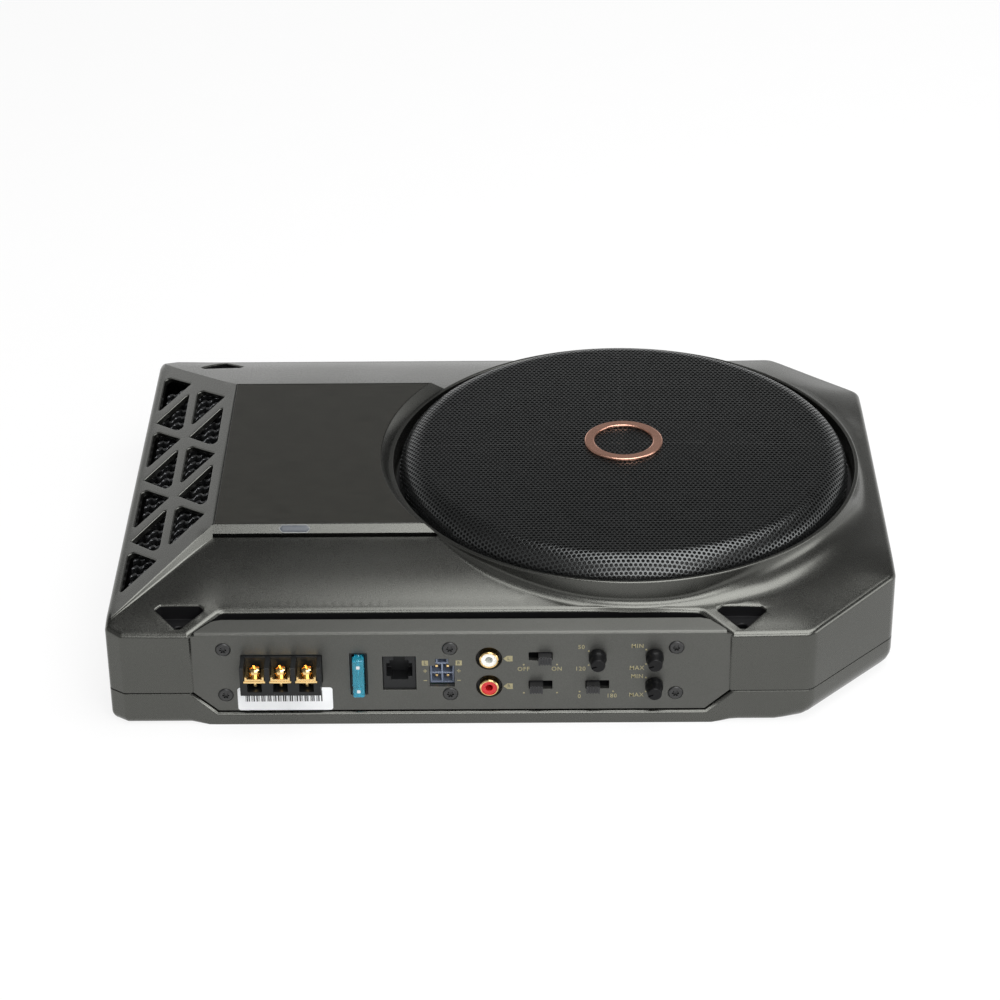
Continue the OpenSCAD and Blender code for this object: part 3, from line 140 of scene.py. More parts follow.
# Top surface
EDGE_Z, LEFT_EDGE_Z, RIGHT_EDGE_Z = 46.6, 49.2, 50.5
SLOPE_TOP_Y, SLOPE_TOP_Z = 68.5, 61.0
RIGHT_TILT, CORNER_TILT = math.radians(17), math.radians(11)
PLATE_X = X_LEFT + 42.9
PLATE_HALF = 65.2
STRIP_LOW_Y, STRIP_LOW_Z = 67.1, 62.7
GROOVE_Y, GROOVE_DEEP_Y, GROOVE_Z = 68.0, 65.4, 57.0
APEX_Y = 116.0
COLLAR_R, COLLAR_IN, RIM_Z, WELL_R = 108.3, 106.3, 62.0, 111.5
FLARE, CORNER_FLARE = 4.5, 14.0
FLARE_MIDDLE, FLARE_SPREAD = math.radians(42), math.radians(40)
LEDGE_Z, LEDGE_WIDE = 50.0, 12.0
RIM_ROUND = 0.6
ROLL, ROLL_DROP, ROLL_RISE = 22.0, 1.15, 0.7

SWELL_Y, SWELL_LEFT, SWELL_REACH = 80.0, 8.0, 20.0
CORNER_SOFT, SOFT_REACH, FLAT_REACH = 0.3, 25.0, 24.0

# The front and rear slopes are one large cylinder along X
SLOPE_RISE = SLOPE_TOP_Z - EDGE_Z
CROWN_Z = (SLOPE_TOP_Z ** 2 - EDGE_Z ** 2 + SLOPE_TOP_Y ** 2 - Y_FRONT ** 2) / (2 * SLOPE_RISE)
CROWN_R = math.hypot(SLOPE_TOP_Y, SLOPE_TOP_Z - CROWN_Z)
VENT_TILT = math.atan((PLATE_Z - LEFT_EDGE_Z) / (PLATE_X - X_LEFT))


# Outlines and meshes

def spread(start, end, steps):
    """Evenly spaced values from start to end."""
    return [start + (end - start) * k / steps for k in range(steps + 1)]


def quarter(steps):
    return spread(0, math.pi / 2, steps)


def fillet(radius, steps, end=math.pi / 2):
    """Offsets (inward, down) round an edge, from its wall to its top."""
    return [(radius * (1 - math.cos(a)), radius * (1 - math.sin(a))) for a in spread(0, end, steps)]


def circle(x, y, r, count=40):
    return [(x + r * math.cos(t), y + r * math.sin(t)) for t in spread(0, 2 * math.pi, count)[:-1]]


def unit(t):
    """A value held between 0 and 1."""
    return min(1.0, max(0.0, t))


def rounded(corners, parts, steps=6):
    """Outline through (x, y, radius) corners, with an arc at each corner that has a radius."""
    arcs = []
    for i, (x, y, radius) in enumerate(corners):
        here = Vector((x, y))
        if radius <= 0:
            arcs.append([here])
            continue
        before = (Vector(corners[i - 1][:2]) - here).normalized()
        after = (Vector(corners[(i + 1) % len(corners)][:2]) - here).normalized()
        half = before.angle(after) / 2
        middle = here + (before + after).normalized() * (radius / math.sin(half))
        start = here + before * (radius / math.tan(half)) - middle
        end = here + after * (radius / math.tan(half)) - middle
        turn = math.atan2(start.cross(end), start.dot(end))
        arcs.append([middle + Matrix.Rotation(a, 2) @ start for a in spread(0, turn, steps)])
    outline = []
    for arc, following, count in zip(arcs, arcs[1:] + arcs[:1], parts):
        outline += arc
        outline += [arc[-1].lerp(following[0], k / count) for k in range(1, count)]
    return outline


def box_corners(x0, y0, x1, y1, radius=0.3):
    return [(x0, y0, radius), (x1, y0, radius), (x1, y1, radius), (x0, y1, radius)]


def inset(corners, d):
    """Counterclockwise corners moved inward by d; round corners keep their centres."""
    moved = []
    for i, (x, y, radius) in enumerate(corners):
        here = Vector((x, y))
        before = (here - Vector(corners[i - 1][:2])).normalized()
        after = (Vector(corners[(i + 1) % len(corners)][:2]) - here).normalized()
        n1, n2 = Vector((-before.y, before.x)), Vector((-after.y, after.x))
        shift = (n1 + n2) * (d / (1 + n1.dot(n2)))
        turn = before.cross(after)
        if radius > 0:
            radius = max(0.15, radius - d if turn > 0 else radius + d)
        moved.append((x + shift.x, y + shift.y, radius))
    return moved


def edge_parts(corners, step):
    """How many parts each straight edge is divided into."""
    ends = corners[1:] + corners[:1]
    return [max(1, round(math.dist(a[:2], b[:2]) / step)) for a, b in zip(corners, ends)]


def inside(point, loop):
    x, y = point[0], point[1]
    hit = False
    for a, b in zip(loop, loop[1:] + loop[:1]):
        if (a[1] > y) != (b[1] > y) and x < a[0] + (y - a[1]) * (b[0] - a[0]) / (b[1] - a[1]):
            hit = not hit
    return hit


class Shell:
    """Points and faces of one piece, in millimetres."""

    def __init__(self):
        self.points = []
        self.faces = []
        self.crisp = set()

    def add(self, points):
        first = len(self.points)
        self.points += [tuple(p) for p in points]
        return list(range(first, len(self.points)))

    def face(self, points):
        self.faces.append(self.add(points))

    def loft(self, rings, closed=True):
        """Quads between rings that have the same number of points."""
        ids = [self.add(ring) for ring in rings]
        count = len(ids[0])
        for low, high in zip(ids, ids[1:]):
            for i in range(count if closed else count - 1):
                j = (i + 1) % count
                self.faces.append([low[i], low[j], high[j], high[i]])

    def solid(self, rings):
        """A loft with both ends closed."""
        self.loft(rings)
        self.face(rings[0])
        self.face(reversed(rings[-1]))

    def patch(self, outer, holes, place, step):
        """Triangles over a plan outline with holes; place lifts a plan point into space."""
        points = []
        edges = []
        for loop in [outer, *holes]:
            first = len(points)
            points += [Vector((p[0], p[1])) for p in loop]
            edges += [(first + i, first + (i + 1) % len(loop)) for i in range(len(loop))]
        border = list(points)
        xs = [p.x for p in border]
        ys = [p.y for p in border]

        def free(p):
            return inside(p, outer) and not any(inside(p, hole) for hole in holes)

        row = 0
        y = min(ys) + step
        while step and y < max(ys):
            x = min(xs) + step * (0.5 if row % 2 else 1)
            while x < max(xs):
                p = Vector((x, y))
                if free(p) and min((p - q).length_squared for q in border) > (0.45 * step) ** 2:
                    points.append(p)
                x += step
            y += step * 0.866
            row += 1
        flat, _, faces, *_ = delaunay_2d_cdt(points, edges, [], 0, 1e-6)
        ids = self.add([place(p.x, p.y) for p in flat])
        for face in faces:
            middle = sum((flat[i] for i in face), Vector((0, 0))) / len(face)
            if free(middle):
                self.faces.append([ids[i] for i in face])

    def object(self, name, sharp=38, ease=None, width=0.4, join=0.004):
        """The finished object; edges that pass the ease test are rounded by width."""
        mesh = bpy.data.meshes.new(name)
        mesh.from_pydata([[c * MM for c in p] for p in self.points], [], self.faces)
        work = bmesh.new()
        work.from_mesh(mesh)
        bmesh.ops.remove_doubles(work, verts=work.verts, dist=join * MM)
        bmesh.ops.dissolve_degenerate(work, dist=1e-7, edges=work.edges)
        bmesh.ops.recalc_face_normals(work, faces=work.faces)
        if ease:
            edges = [e for e in work.edges if len(e.link_faces) == 2 and ease(e)]
            bmesh.ops.bevel(work, geom=edges, offset=width * MM, segments=3, profile=0.6,
                            affect="EDGES", clamp_overlap=True)
        return as_piece(name, mesh, work, sharp, self.crisp)


def spot(point):
    return tuple(round(c, 2) for c in point)


def placed(name, data):
    """An object in the scene."""
    made = bpy.data.objects.new(name, data)
    scene.collection.objects.link(made)
    return made


def as_piece(name, mesh, work, sharp, crisp=()):
    """A piece with smooth faces; edges past the sharp angle and the crisp ones are hard."""
    for face in work.faces:
        face.smooth = True
    for edge in work.edges:
        edge.smooth = len(edge.link_faces) == 2 and edge.calc_face_angle(0) < math.radians(sharp)
        if frozenset(spot(v.co / MM) for v in edge.verts) in crisp:
            edge.smooth = False
    work.to_mesh(mesh)
    work.free()
    piece = placed(name, mesh)
    normals = piece.modifiers.new("even_shading", "WEIGHTED_NORMAL")
    normals.keep_sharp = True
    return piece


def finish(piece, body, slot, node=None, look=None):
    """Gives a piece its look, or else the slot's finish; attaches it to its body unless it is soft, and
    hides the node that it stands for.
    """
    piece.data.materials.clear()
    piece.data.materials.append(FINISHES[look or slot])
    if body:
        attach(piece, body)
    if node:
        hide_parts(node)
    return piece


# Materials

class Value:
    """A shader socket; arithmetic on it adds Math nodes."""

    def __init__(self, shader, socket):
        self.shader = shader
        self.socket = socket

    def math(self, operation, other):
        return self.shader.add("ShaderNodeMath", {"operation": operation}, {0: self, 1: other})[0]

    def __add__(self, other):
        return self.math("ADD", other)

    def __mul__(self, other):
        return self.math("MULTIPLY", other)


class Shader:
    """The node tree of one material or of the world."""

    def __init__(self, owner):
        owner.use_nodes = True
        self.tree = owner.node_tree
        self.tree.nodes.clear()

    def add(self, kind, settings=None, inputs=None):
        """Adds a node: its settings first, then its sockets' values or links; returns its outputs."""
        node = self.tree.nodes.new(kind)
        for name, value in (settings or {}).items():
            if name == "stops":
                ramp = node.color_ramp.elements
                while len(ramp) < len(value):
                    ramp.new(0.5)
                for stop, (place, shade) in zip(ramp, value):
                    stop.position = place
                    stop.color = (*shade, 1) if isinstance(shade, tuple) else (shade, shade, shade, 1)
            else:
                setattr(node, name, value)
        for name, value in (inputs or {}).items():
            socket = node.inputs[name]
            if isinstance(value, Value):
                self.tree.links.new(value.socket, socket)
            elif isinstance(value, tuple) and len(value) == 3 and socket.type == "RGBA":
                socket.default_value = (*value, 1)
            else:
                socket.default_value = value
        return [Value(self, out) for out in node.outputs]

    def place(self):
        return self.add("ShaderNodeTexCoord")[3]

    def noise(self, size_mm, detail=3.0, stretch=(1, 1, 1)):
        """Noise with features of about size_mm, stretched along the axes."""
        moved = self.add("ShaderNodeMapping", None, {"Vector": self.place(), "Scale": stretch})[0]
        return self.add("ShaderNodeTexNoise", None, {
            "Vector": moved, "Scale": 1 / (size_mm * MM), "Detail": detail, "Roughness": 0.55})[0]

    def ramp(self, value, *stops):
        return self.add("ShaderNodeValToRGB", {"stops": stops}, {"Fac": value})[0]

    def span(self, value, low, high, to_low=0.0, to_high=1.0):
        return self.add("ShaderNodeMapRange", {"clamp": True}, {
            "Value": value, "From Min": low, "From Max": high, "To Min": to_low, "To Max": to_high})[0]

    def vary(self, noise, low, high):
        """Spreads the middle of a noise between two values."""
        return self.span(noise, 0.3, 0.7, low, high)

    def tint(self, colour, tone):
        return self.add("ShaderNodeVectorMath", {"operation": "SCALE"}, {0: colour, "Scale": tone})[0]

    def blend(self, share, first, second):
        """Mixes two colours."""
        return self.add("ShaderNodeMix", {"data_type": "RGBA"}, {0: share, 6: first, 7: second})[2]

    def bump(self, height, depth_mm):
        return self.add("ShaderNodeBump", None, {
            "Height": height, "Distance": depth_mm * MM, "Strength": 1.0})[0]

    def surface(self, **sockets):
        """The principled shader, with underscores for the spaces in its sockets' names."""
        inputs = {name.replace("_", " "): value for name, value in sockets.items()}
        return self.add("ShaderNodeBsdfPrincipled", None, inputs)[0]

    def out(self, shader):
        self.add("ShaderNodeOutputMaterial", None, {"Surface": shader})


FINISHES = {}


def material(name):
    """Starts a material, kept by its name in FINISHES."""
    FINISHES[name] = bpy.data.materials.new(name)
    return Shader(FINISHES[name])


def gunmetal(name, shade, metallic, rough, grain_mm, depth):
    """Metallic satin paint: fine flake, faint orange peel and uneven gloss."""
    s = material(name)
    flake = s.noise(grain_mm, 2)
    cloud = s.noise(45, 3)
    tone = s.vary(flake, 0.86, 1.14) * s.vary(cloud, 0.95, 1.05)
    gloss = s.vary(flake, rough - 0.03, rough + 0.04) + s.span(cloud, 0.35, 0.65, -0.02, 0.02)
    height = flake * 0.7 + s.noise(1.4, 2) * 0.6
    s.out(s.surface(Base_Color=s.tint((shade, shade * 1.01, shade * 0.93), tone), Metallic=metallic,
                    Roughness=gloss, IOR=1.5, Normal=s.bump(height, depth)))


def plain_part(name, colour, rough, metallic=0.0, grain_mm=0.5, depth=0.01, vary=0.12, detail=3,
               stretch=(1, 1, 1), cloud_mm=12, uneven=0.06, gloss=(0.9, 1.12), **extra):
    """Moulded or machined surface with grain, a little colour variation and uneven gloss."""
    s = material(name)
    grain = s.noise(grain_mm, detail, stretch)
    cloud = s.noise(cloud_mm, 2)
    tone = s.vary(grain, 1 - vary, 1 + vary) * s.vary(cloud, 1 - uneven, 1 + uneven)
    s.out(s.surface(Base_Color=s.tint(colour, tone), Metallic=metallic,
                    Roughness=s.vary(grain, rough * gloss[0], rough * gloss[1]),
                    Normal=s.bump(grain, depth), **extra))


def brushed(name, colour, rough, along, metallic=1.0, line_mm=0.12, depth=0.006, vary=0.18):
    """Metal brushed along one axis."""
    stretch = tuple(0.02 if axis == along else 1.0 for axis in range(3))
    plain_part(name, colour, rough, metallic, line_mm, depth, vary, 2, stretch, 9, 0.07, (0.8, 1.25))


def clear_plastic(name, colour, rough, share):
    """Tinted see-through plastic."""
    s = material(name)
    grain = s.noise(0.8, 2)
    base = s.blend(s.vary(grain, 0.0, 1.0), tuple(c * 0.85 for c in colour), colour)
    s.out(s.surface(Base_Color=base, Roughness=s.vary(grain, rough, rough * 1.5),
                    Transmission_Weight=share, IOR=1.5, Normal=s.bump(grain, 0.004)))


def fabric(name, colour):
    """Treated cloth with a woven grain."""
    s = material(name)
    weave = (s.noise(0.5, 1, (0.15, 1, 1)) + s.noise(0.5, 1, (1, 0.15, 1))) * 0.5
    base = s.blend(s.span(weave, 0.35, 0.65), tuple(c * 0.6 for c in colour), colour)
    s.out(s.surface(Base_Color=base, Roughness=s.vary(weave, 0.75, 0.92), Normal=s.bump(weave, 0.1)))


def printing_ink(name, colour):
    """Thin ink, worn in places."""
    s = material(name)
    worn = s.noise(0.25, 3)
    base = s.blend(s.span(worn, 0.35, 0.7), tuple(c * 0.72 for c in colour), colour)
    s.out(s.surface(Base_Color=base, Roughness=s.vary(worn, 0.5, 0.65), Normal=s.bump(worn, 0.003)))


gunmetal("casing_paint", 0.1, 0.96, 0.27, 0.35, 0.005)
gunmetal("panel_paint", 0.095, 0.7, 0.38, 0.3, 0.014)
# Near-black used as painted shade inside the pockets and the recess behind the panel
plain_part("painted_shade_black", (0.004, 0.004, 0.0045), 0.5, grain_mm=0.4, Specular_IOR_Level=0.25)
plain_part("seal_rubber", (0.012, 0.012, 0.012), 0.8, depth=0.02)
brushed("inlay_gloss", (0.02, 0.0195, 0.016), 0.2, 0, 0.0, 0.3, 0.0012, 0.3)
plain_part("indicator_lens", (0.075, 0.085, 0.1), 0.25, grain_mm=0.8, depth=0.002, vary=0.06)
brushed("frame_silver", (0.16, 0.165, 0.165), 0.28, 0, line_mm=0.2, depth=0.003)
plain_part("screw_steel", (0.06, 0.06, 0.06), 0.42, 0.8, 0.3)
plain_part("grille_steel", (0.074, 0.077, 0.077), 0.26, 0.9, 0.2, 0.003)
plain_part("badge_copper", (0.76, 0.42, 0.31), 0.28, 1.0, 0.2, 0.0015, 0.04)
plain_part("basket_steel", (0.03, 0.03, 0.03), 0.5, 0.3)
plain_part("surround_rubber", (0.01, 0.01, 0.01), 0.6, depth=0.02)
plain_part("cone_paper", (0.02, 0.02, 0.02), 0.75, grain_mm=0.9, depth=0.06)
brushed("coil_copper", (0.6, 0.28, 0.12), 0.35, 0, line_mm=0.3, depth=0.03)
fabric("spider_fabric", (0.5, 0.33, 0.1))
brushed("pole_steel", (0.45, 0.46, 0.47), 0.35, 1)
plain_part("magnet_ferrite", (0.05, 0.05, 0.055), 0.6, 0.3, 0.8, 0.05)
plain_part("board_laminate", (0.02, 0.11, 0.045), 0.45, grain_mm=0.6)
plain_part("sink_metal", (0.075, 0.077, 0.08), 0.25, 0.85, 0.4, 0.006)
plain_part("part_black", (0.009, 0.0095, 0.01), 0.4, grain_mm=0.3, depth=0.006, Specular_IOR_Level=0.3)
plain_part("inlet_plastic", (0.15, 0.18, 0.25), 0.3, grain_mm=0.4)
plain_part("capacitor_sleeve", (0.03, 0.03, 0.05), 0.35)
brushed("contact_gold", (0.88, 0.62, 0.28), 0.17, 1, line_mm=0.2, depth=0.002, vary=0.08)
clear_plastic("fuse_plastic", (0.05, 0.6, 0.82), 0.06, 0.7)
plain_part("blade_zinc", (0.75, 0.77, 0.78), 0.25, 1.0, 0.3, 0.004)
plain_part("insert_white", (0.82, 0.82, 0.78), 0.35)
plain_part("insert_red", (0.55, 0.015, 0.02), 0.35)
plain_part("control_black", (0.004, 0.004, 0.0045), 0.4, grain_mm=0.3, depth=0.008, Specular_IOR_Level=0.2)
plain_part("slider_grip", (0.016, 0.016, 0.017), 0.3, grain_mm=0.3, depth=0.006)
plain_part("label_paper", (0.78, 0.79, 0.8), 0.5, grain_mm=0.2, depth=0.004, vary=0.04)
printing_ink("panel_ink", (0.33, 0.295, 0.165))
printing_ink("label_ink", (0.02, 0.02, 0.022))

for node, piece in frame["nodes"].items():
    for slot in piece.material_slots:
        slot.material = FINISHES["slider_grip" if node.endswith("_slider") else slot.name]


# Casing

def smooth_min(a, b, reach):
    share = unit(0.5 + 0.5 * (b - a) / reach)
    return b + (a - b) * share - reach * share * (1 - share)


def roof(x, y):
    """Height of the sloped roof: a wide crown that falls off toward the right wall and corners."""
    crown = math.sqrt(CROWN_R ** 2 - y ** 2) + CROWN_Z
    right = RIGHT_EDGE_Z + (X_RIGHT - x) * math.tan(RIGHT_TILT)
    chamfer = Vector(RIGHT_CHAMFER)
    along = chamfer.normalized()
    reach = Vector((x - X_RIGHT + chamfer.x, -abs(y) - Y_FRONT))
    inward = along.cross(reach)
    climb = reach.dot(along) * (RIGHT_EDGE_Z - EDGE_Z) / chamfer.length
    corner = EDGE_Z + climb + inward * math.tan(CORNER_TILT)
    soft = 1 + CORNER_SOFT * min(SOFT_REACH, max(0.0, inward))
    near = max(0.0, 1 - edge_distance(x, y) / ROLL)
    swell = max(0.0, (abs(y) - SWELL_Y) / (-Y_FRONT - SWELL_Y)) ** 2
    rolled = eased((x - X_LEFT - SWELL_LEFT) / SWELL_REACH) * (ROLL_RISE * swell - ROLL_DROP * near ** 2)
    bow = max(0.0, (abs(y) - GROOVE_Y) * (APEX_Y - abs(y))) / (2 * CROWN_R)
    flattened = bow * eased((PLATE_X - x) / FLAT_REACH)
    return smooth_min(smooth_min(crown, right, soft), corner, soft) + rolled - flattened


def eased(t):
    """Runs softly from 0 to 1."""
    t = unit(t)
    return t * t * (3 - 2 * t)


def edge_distance(x, y):
    """Distance in plan from the roof's front or rear edge, with the right chamfer and the panel's recess."""
    point = Vector((x, -abs(y)))
    rx, ry = RIGHT_CHAMFER
    edge = [(X_LEFT, Y_FRONT), (X_RIGHT - rx, Y_FRONT), (X_RIGHT, Y_FRONT + ry)]
    if y < 0:
        wall, notch = RECESS_HALF, RECESS_HALF - RECESS_DEEP
        deep = Y_FRONT + RECESS_DEEP
        edge[1:1] = [(PANEL_X - wall, Y_FRONT), (PANEL_X - notch, deep), (PANEL_X + notch, deep),
                     (PANEL_X + wall, Y_FRONT)]
    least = 2 * ROLL
    for start, end in zip(edge, edge[1:]):
        start, run = Vector(start), Vector(end) - Vector(start)
        share = unit((point - start).dot(run) / run.length_squared)
        least = smooth_min(least, (point - start - run * share).length, 2.0)
    return max(0.0, least)


def vent_plane(x):
    return LEFT_EDGE_Z + (x - X_LEFT) * math.tan(VENT_TILT)


def deck(x, y):
    return min(roof(x, y), vent_plane(x))


def casing_corners(recess):
    """Corners of the casing's plan, counterclockwise from the left end of the front."""
    lx, ly = LEFT_CHAMFER
    rx, ry = RIGHT_CHAMFER
    notch = []
    if recess:
        for side in (-1, 1):
            pair = [(PANEL_X + side * RECESS_HALF, Y_FRONT, 1.3),
                    (PANEL_X + side * (RECESS_HALF - RECESS_DEEP), Y_FRONT + RECESS_DEEP, 4)]
            notch += pair if side < 0 else pair[::-1]
    return [
        (X_LEFT + lx, Y_FRONT, 3), *notch, (X_RIGHT - rx, Y_FRONT, 8), (X_RIGHT, Y_FRONT + ry, 8),
        (X_RIGHT, Y_REAR - ry, 8), (X_RIGHT - rx, Y_REAR, 8), (X_LEFT + lx, Y_REAR, 3),
        (X_LEFT, Y_REAR - ly, 3), (X_LEFT, APEX_Y, 0), (X_LEFT, -APEX_Y, 0), (X_LEFT, Y_FRONT + ly, 3)]


POCKET_SPOTS = [(PANEL_X + side * 121.8, sign) for side in (-1, 1) for sign in (-1, 1)]
POCKET_Y, POCKET_Z, POCKET_EASE = 115.9, 44.2, 0.7
POCKET_CORNERS = [(-1.2, -5.0, 1), (1.2, -5.0, 1), (10.8, 5.2, 1.2), (8.4, 7.5, 1.2), (-8.4, 7.5, 1.2),
                  (-10.8, 5.2, 1.2)]
FIXING_R = 2.1


def pocket_loop(x, sign, grow):
    """Plan of a corner pocket; its tip points to the front or to the rear."""
    loop = rounded(inset(POCKET_CORNERS, -grow), [2] * len(POCKET_CORNERS), 4)
    return [(x + p.x, sign * (POCKET_Y - p.y)) for p in loop]


def add_pocket(shell, shade_shell, x, sign):
    """A corner pocket: its eased edge in the roof, and its walls and floor with a fixing hole, in black
    painted shade.
    """
    def level(grow, height):
        return [(px, py, height(px, py)) for px, py in pocket_loop(x, sign, grow)]

    def hole(r, z):
        return [(px, py, z) for px, py in circle(x, sign * POCKET_Y, r, 24)]

    edge = [level(down, lambda px, py, deep=inward: roof(px, py) - deep)
            for inward, down in fillet(POCKET_EASE, 3)]
    shell.loft(edge)
    wall = edge[-1:] + [level(-inward, lambda px, py, high=down: POCKET_Z + high)
                        for inward, down in fillet(POCKET_EASE, 2)]
    # The pocket's walls and floor are black painted shade
    shade_shell.loft(wall)
    rim = hole(FIXING_R + 0.4, POCKET_Z)
    shade_shell.patch([p[:2] for p in wall[-1]], [[p[:2] for p in rim]], lambda px, py: (px, py, POCKET_Z), 0)
    shade_shell.loft([rim, hole(FIXING_R, POCKET_Z - 0.4), hole(FIXING_R, POCKET_Z - 9)])


VENT_PITCH, VENT_REACH = 27.2, 15.8
VENT_FIRST, VENT_COLUMN = 4.6, 20.6


def vent_windows(grow):
    """Rounded triangular windows, in the plane of the vented slope."""
    loops = []
    for k in range(-3, 4):
        for column, points_right in ((0, k % 2 != 0), (1, k % 2 == 0)):
            if column and abs(k) == 3:
                continue
            s = VENT_FIRST + column * VENT_COLUMN
            tip, foot = (s + VENT_REACH, s) if points_right else (s, s + VENT_REACH)
            y, half, near, far = (1.9, 18.0, 0.8, 2.0) if points_right else (0.3, 19.2, 2.0, 0.9)
            y += k * VENT_PITCH
            corners = [(foot, y - half, near), (tip, y, 0.7), (foot, y + half, far)]
            if not points_right:
                corners.reverse()
            loops.append(rounded(inset(corners, -grow), [6, 6, 8], 5))
    return loops


def slope_point(s, y, depth=0.0):
    """A point at distance s up the vented slope, sunk below it by depth."""
    return (X_LEFT + s * math.cos(VENT_TILT) + depth * math.sin(VENT_TILT), y,
            LEFT_EDGE_Z + s * math.sin(VENT_TILT) - depth * math.cos(VENT_TILT))


def pierced(shell, outline, windows, place, step, ease, deep):
    """A face with openings; edges rounded by ease lead into walls that go deep behind it."""
    shell.patch(outline, windows(ease), place, step)
    sections = [(down, inward) for inward, down in fillet(ease, 4)] + [(0, deep)]
    levels = [(windows(grow), depth) for grow, depth in sections]
    for i in range(len(levels[0][0])):
        shell.loft([[place(p[0], p[1], depth) for p in loops[i]] for loops, depth in levels])


def add_vents(shell, left_edge):
    edge = [((p[0] - X_LEFT) / math.cos(VENT_TILT), p[1]) for p in left_edge]
    front = facet_top(left_edge[-1], -1, FACET_EASE)[1:]
    rear = facet_top(left_edge[0], 1, FACET_EASE)[:0:-1]
    outline = edge + front + rear
    pierced(shell, outline, vent_windows, slope_point, 5.0, 0.6, 2.4)


def collar_point(r, turn, z):
    return (DRIVER_X + r * math.cos(turn), r * math.sin(turn), z)


FOOT_LEAST = 0.6
FACET_PARTS, FACET_EASE = 12, 0.4
STRIP_PARTS, WELL_PARTS = 24, 48
INLAY_BORDER, INLAY_DEEP = 0.45, 0.8
COLLAR_END = math.pi - math.asin(GROOVE_Y / (COLLAR_R + FOOT_LEAST))


def collar_foot(turn):
    """Size of the sweep between the roof and the collar; it runs out where the roof meets the rim."""
    x, y, _ = collar_point(COLLAR_R + FLARE / 2, turn, 0)
    away = (abs(turn) - FLARE_MIDDLE) / FLARE_SPREAD
    wide = FLARE + (CORNER_FLARE - FLARE) * max(0.0, 1 - away ** 2) ** 2
    share = 0.75 if wide < FLARE + 1 else 2.0
    return min(wide, max(FOOT_LEAST, share * (RIM_Z - roof(x, y))))


def add_collar(shell):
    """Collar round the grille, swept up from the roof; returns the angles along it."""
    turns = spread(COLLAR_END, -COLLAR_END, 150)
    rings = []
    for a in quarter(6):
        ring = []
        for turn in turns:
            foot = collar_foot(turn)
            x, y, _ = collar_point(COLLAR_R + foot, turn, 0)
            z = roof(x, y)
            z += min(foot, RIM_Z - RIM_ROUND - z) * (1 - math.cos(a))
            ring.append(collar_point(COLLAR_R + foot * (1 - math.sin(a)), turn, z))
        rings.append(ring)
    for inward, down in fillet(RIM_ROUND, 3):
        rings.append([collar_point(COLLAR_R - inward, turn, RIM_Z - down) for turn in turns])
    shell.loft(rings, closed=False)
    around = turns + spread(-COLLAR_END, COLLAR_END - 2 * math.pi, 48)[1:-1]
    inner = [[collar_point(COLLAR_R - RIM_ROUND, turn, RIM_Z) for turn in around]]
    for inward, down in fillet(RIM_ROUND, 3):
        inner.append([collar_point(COLLAR_IN + down, turn, RIM_Z - inward) for turn in around])
    for r in (COLLAR_IN, COLLAR_IN - LEDGE_WIDE):
        inner.append([collar_point(r, turn, LEDGE_Z) for turn in around])
    shell.loft(inner)
    return turns


def strip_y(z):
    """Distance from the middle of the bevel strip's face at height z."""
    return PLATE_HALF + (PLATE_Z - z) / (PLATE_Z - STRIP_LOW_Z) * (STRIP_LOW_Y - PLATE_HALF)


def well_r(z):
    return COLLAR_R + (z - RIM_Z) / (PLATE_Z - RIM_Z) * (WELL_R - COLLAR_R)


def well_turns(z, steps):
    """Angles along the plate's round cut-out at height z, from one strip to the other."""
    end = math.pi - math.asin(strip_y(z) / well_r(z))
    return spread(end, 2 * math.pi - end, steps)


def groove_edge(sign):
    """Plan of the roof's edge along a groove."""
    end = collar_point(COLLAR_R + FOOT_LEAST, COLLAR_END, 0)[0]
    return [(x, sign * GROOVE_Y) for x in spread(PLATE_X, end, STRIP_PARTS)]


def add_plate(shell, apexes):
    """Raised plate, its round cut-out, and on each side a bevel strip, a groove and a facet."""
    levels = [PLATE_Z, (PLATE_Z + STRIP_LOW_Z) / 2, STRIP_LOW_Z, RIM_Z]
    wells = [[collar_point(well_r(z), turn, z) for turn in well_turns(z, WELL_PARTS)] for z in levels]
    rim = [collar_point(COLLAR_R - RIM_ROUND, turn, RIM_Z) for turn in well_turns(RIM_Z, WELL_PARTS)]
    shell.loft([*wells, rim], closed=False)
    border = [p[:2] for p in wells[0]]
    plate = [(PLATE_X, -PLATE_HALF), *reversed(border), (PLATE_X, PLATE_HALF)]
    inlay = inlay_loop()
    shell.patch(plate, [inlay], lambda x, y: (x, y, PLATE_Z), 0)
    shell.loft([[(x, y, PLATE_Z - deep) for x, y in inlay] for deep in (0, INLAY_DEEP)])
    top_end, low_end = wells[0][0][0], wells[2][0][0]
    for sign, apex in apexes.items():
        def run(end, y, z):
            return [(x, sign * y, z) for x in spread(PLATE_X, end, STRIP_PARTS)]

        rows = [run(top_end, PLATE_HALF, PLATE_Z), run(low_end, STRIP_LOW_Y, STRIP_LOW_Z),
                run(low_end, GROOVE_DEEP_Y, GROOVE_Z), [(x, y, roof(x, y)) for x, y in groove_edge(sign)]]
        shell.loft(rows, closed=False)
        shell.face([row[0] for row in rows])
        lines = facet_lines(apex, sign)
        for line in lines:
            shell.crisp.update(frozenset((spot(p), spot(q))) for p, q in zip(line, line[1:]))
        shell.loft(lines, closed=False)


def facet_fade(t):
    """Runs the easing of a facet's edges out at both ends."""
    return min(1.0, 5 * t, 5 * (1 - t))


def facet_top(apex, sign, back):
    """Places (s, y) along a facet's upper edge on the vented slope, set back from it by up to back."""
    start = Vector(((apex[0] - X_LEFT) / math.cos(VENT_TILT), apex[1]))
    end = Vector(((PLATE_X - X_LEFT) / math.cos(VENT_TILT), sign * PLATE_HALF))
    across = Vector((start.y - end.y, end.x - start.x)).normalized() * -sign
    return [start.lerp(end, t) + across * back * facet_fade(t) for t in spread(0, 1, FACET_PARTS)]


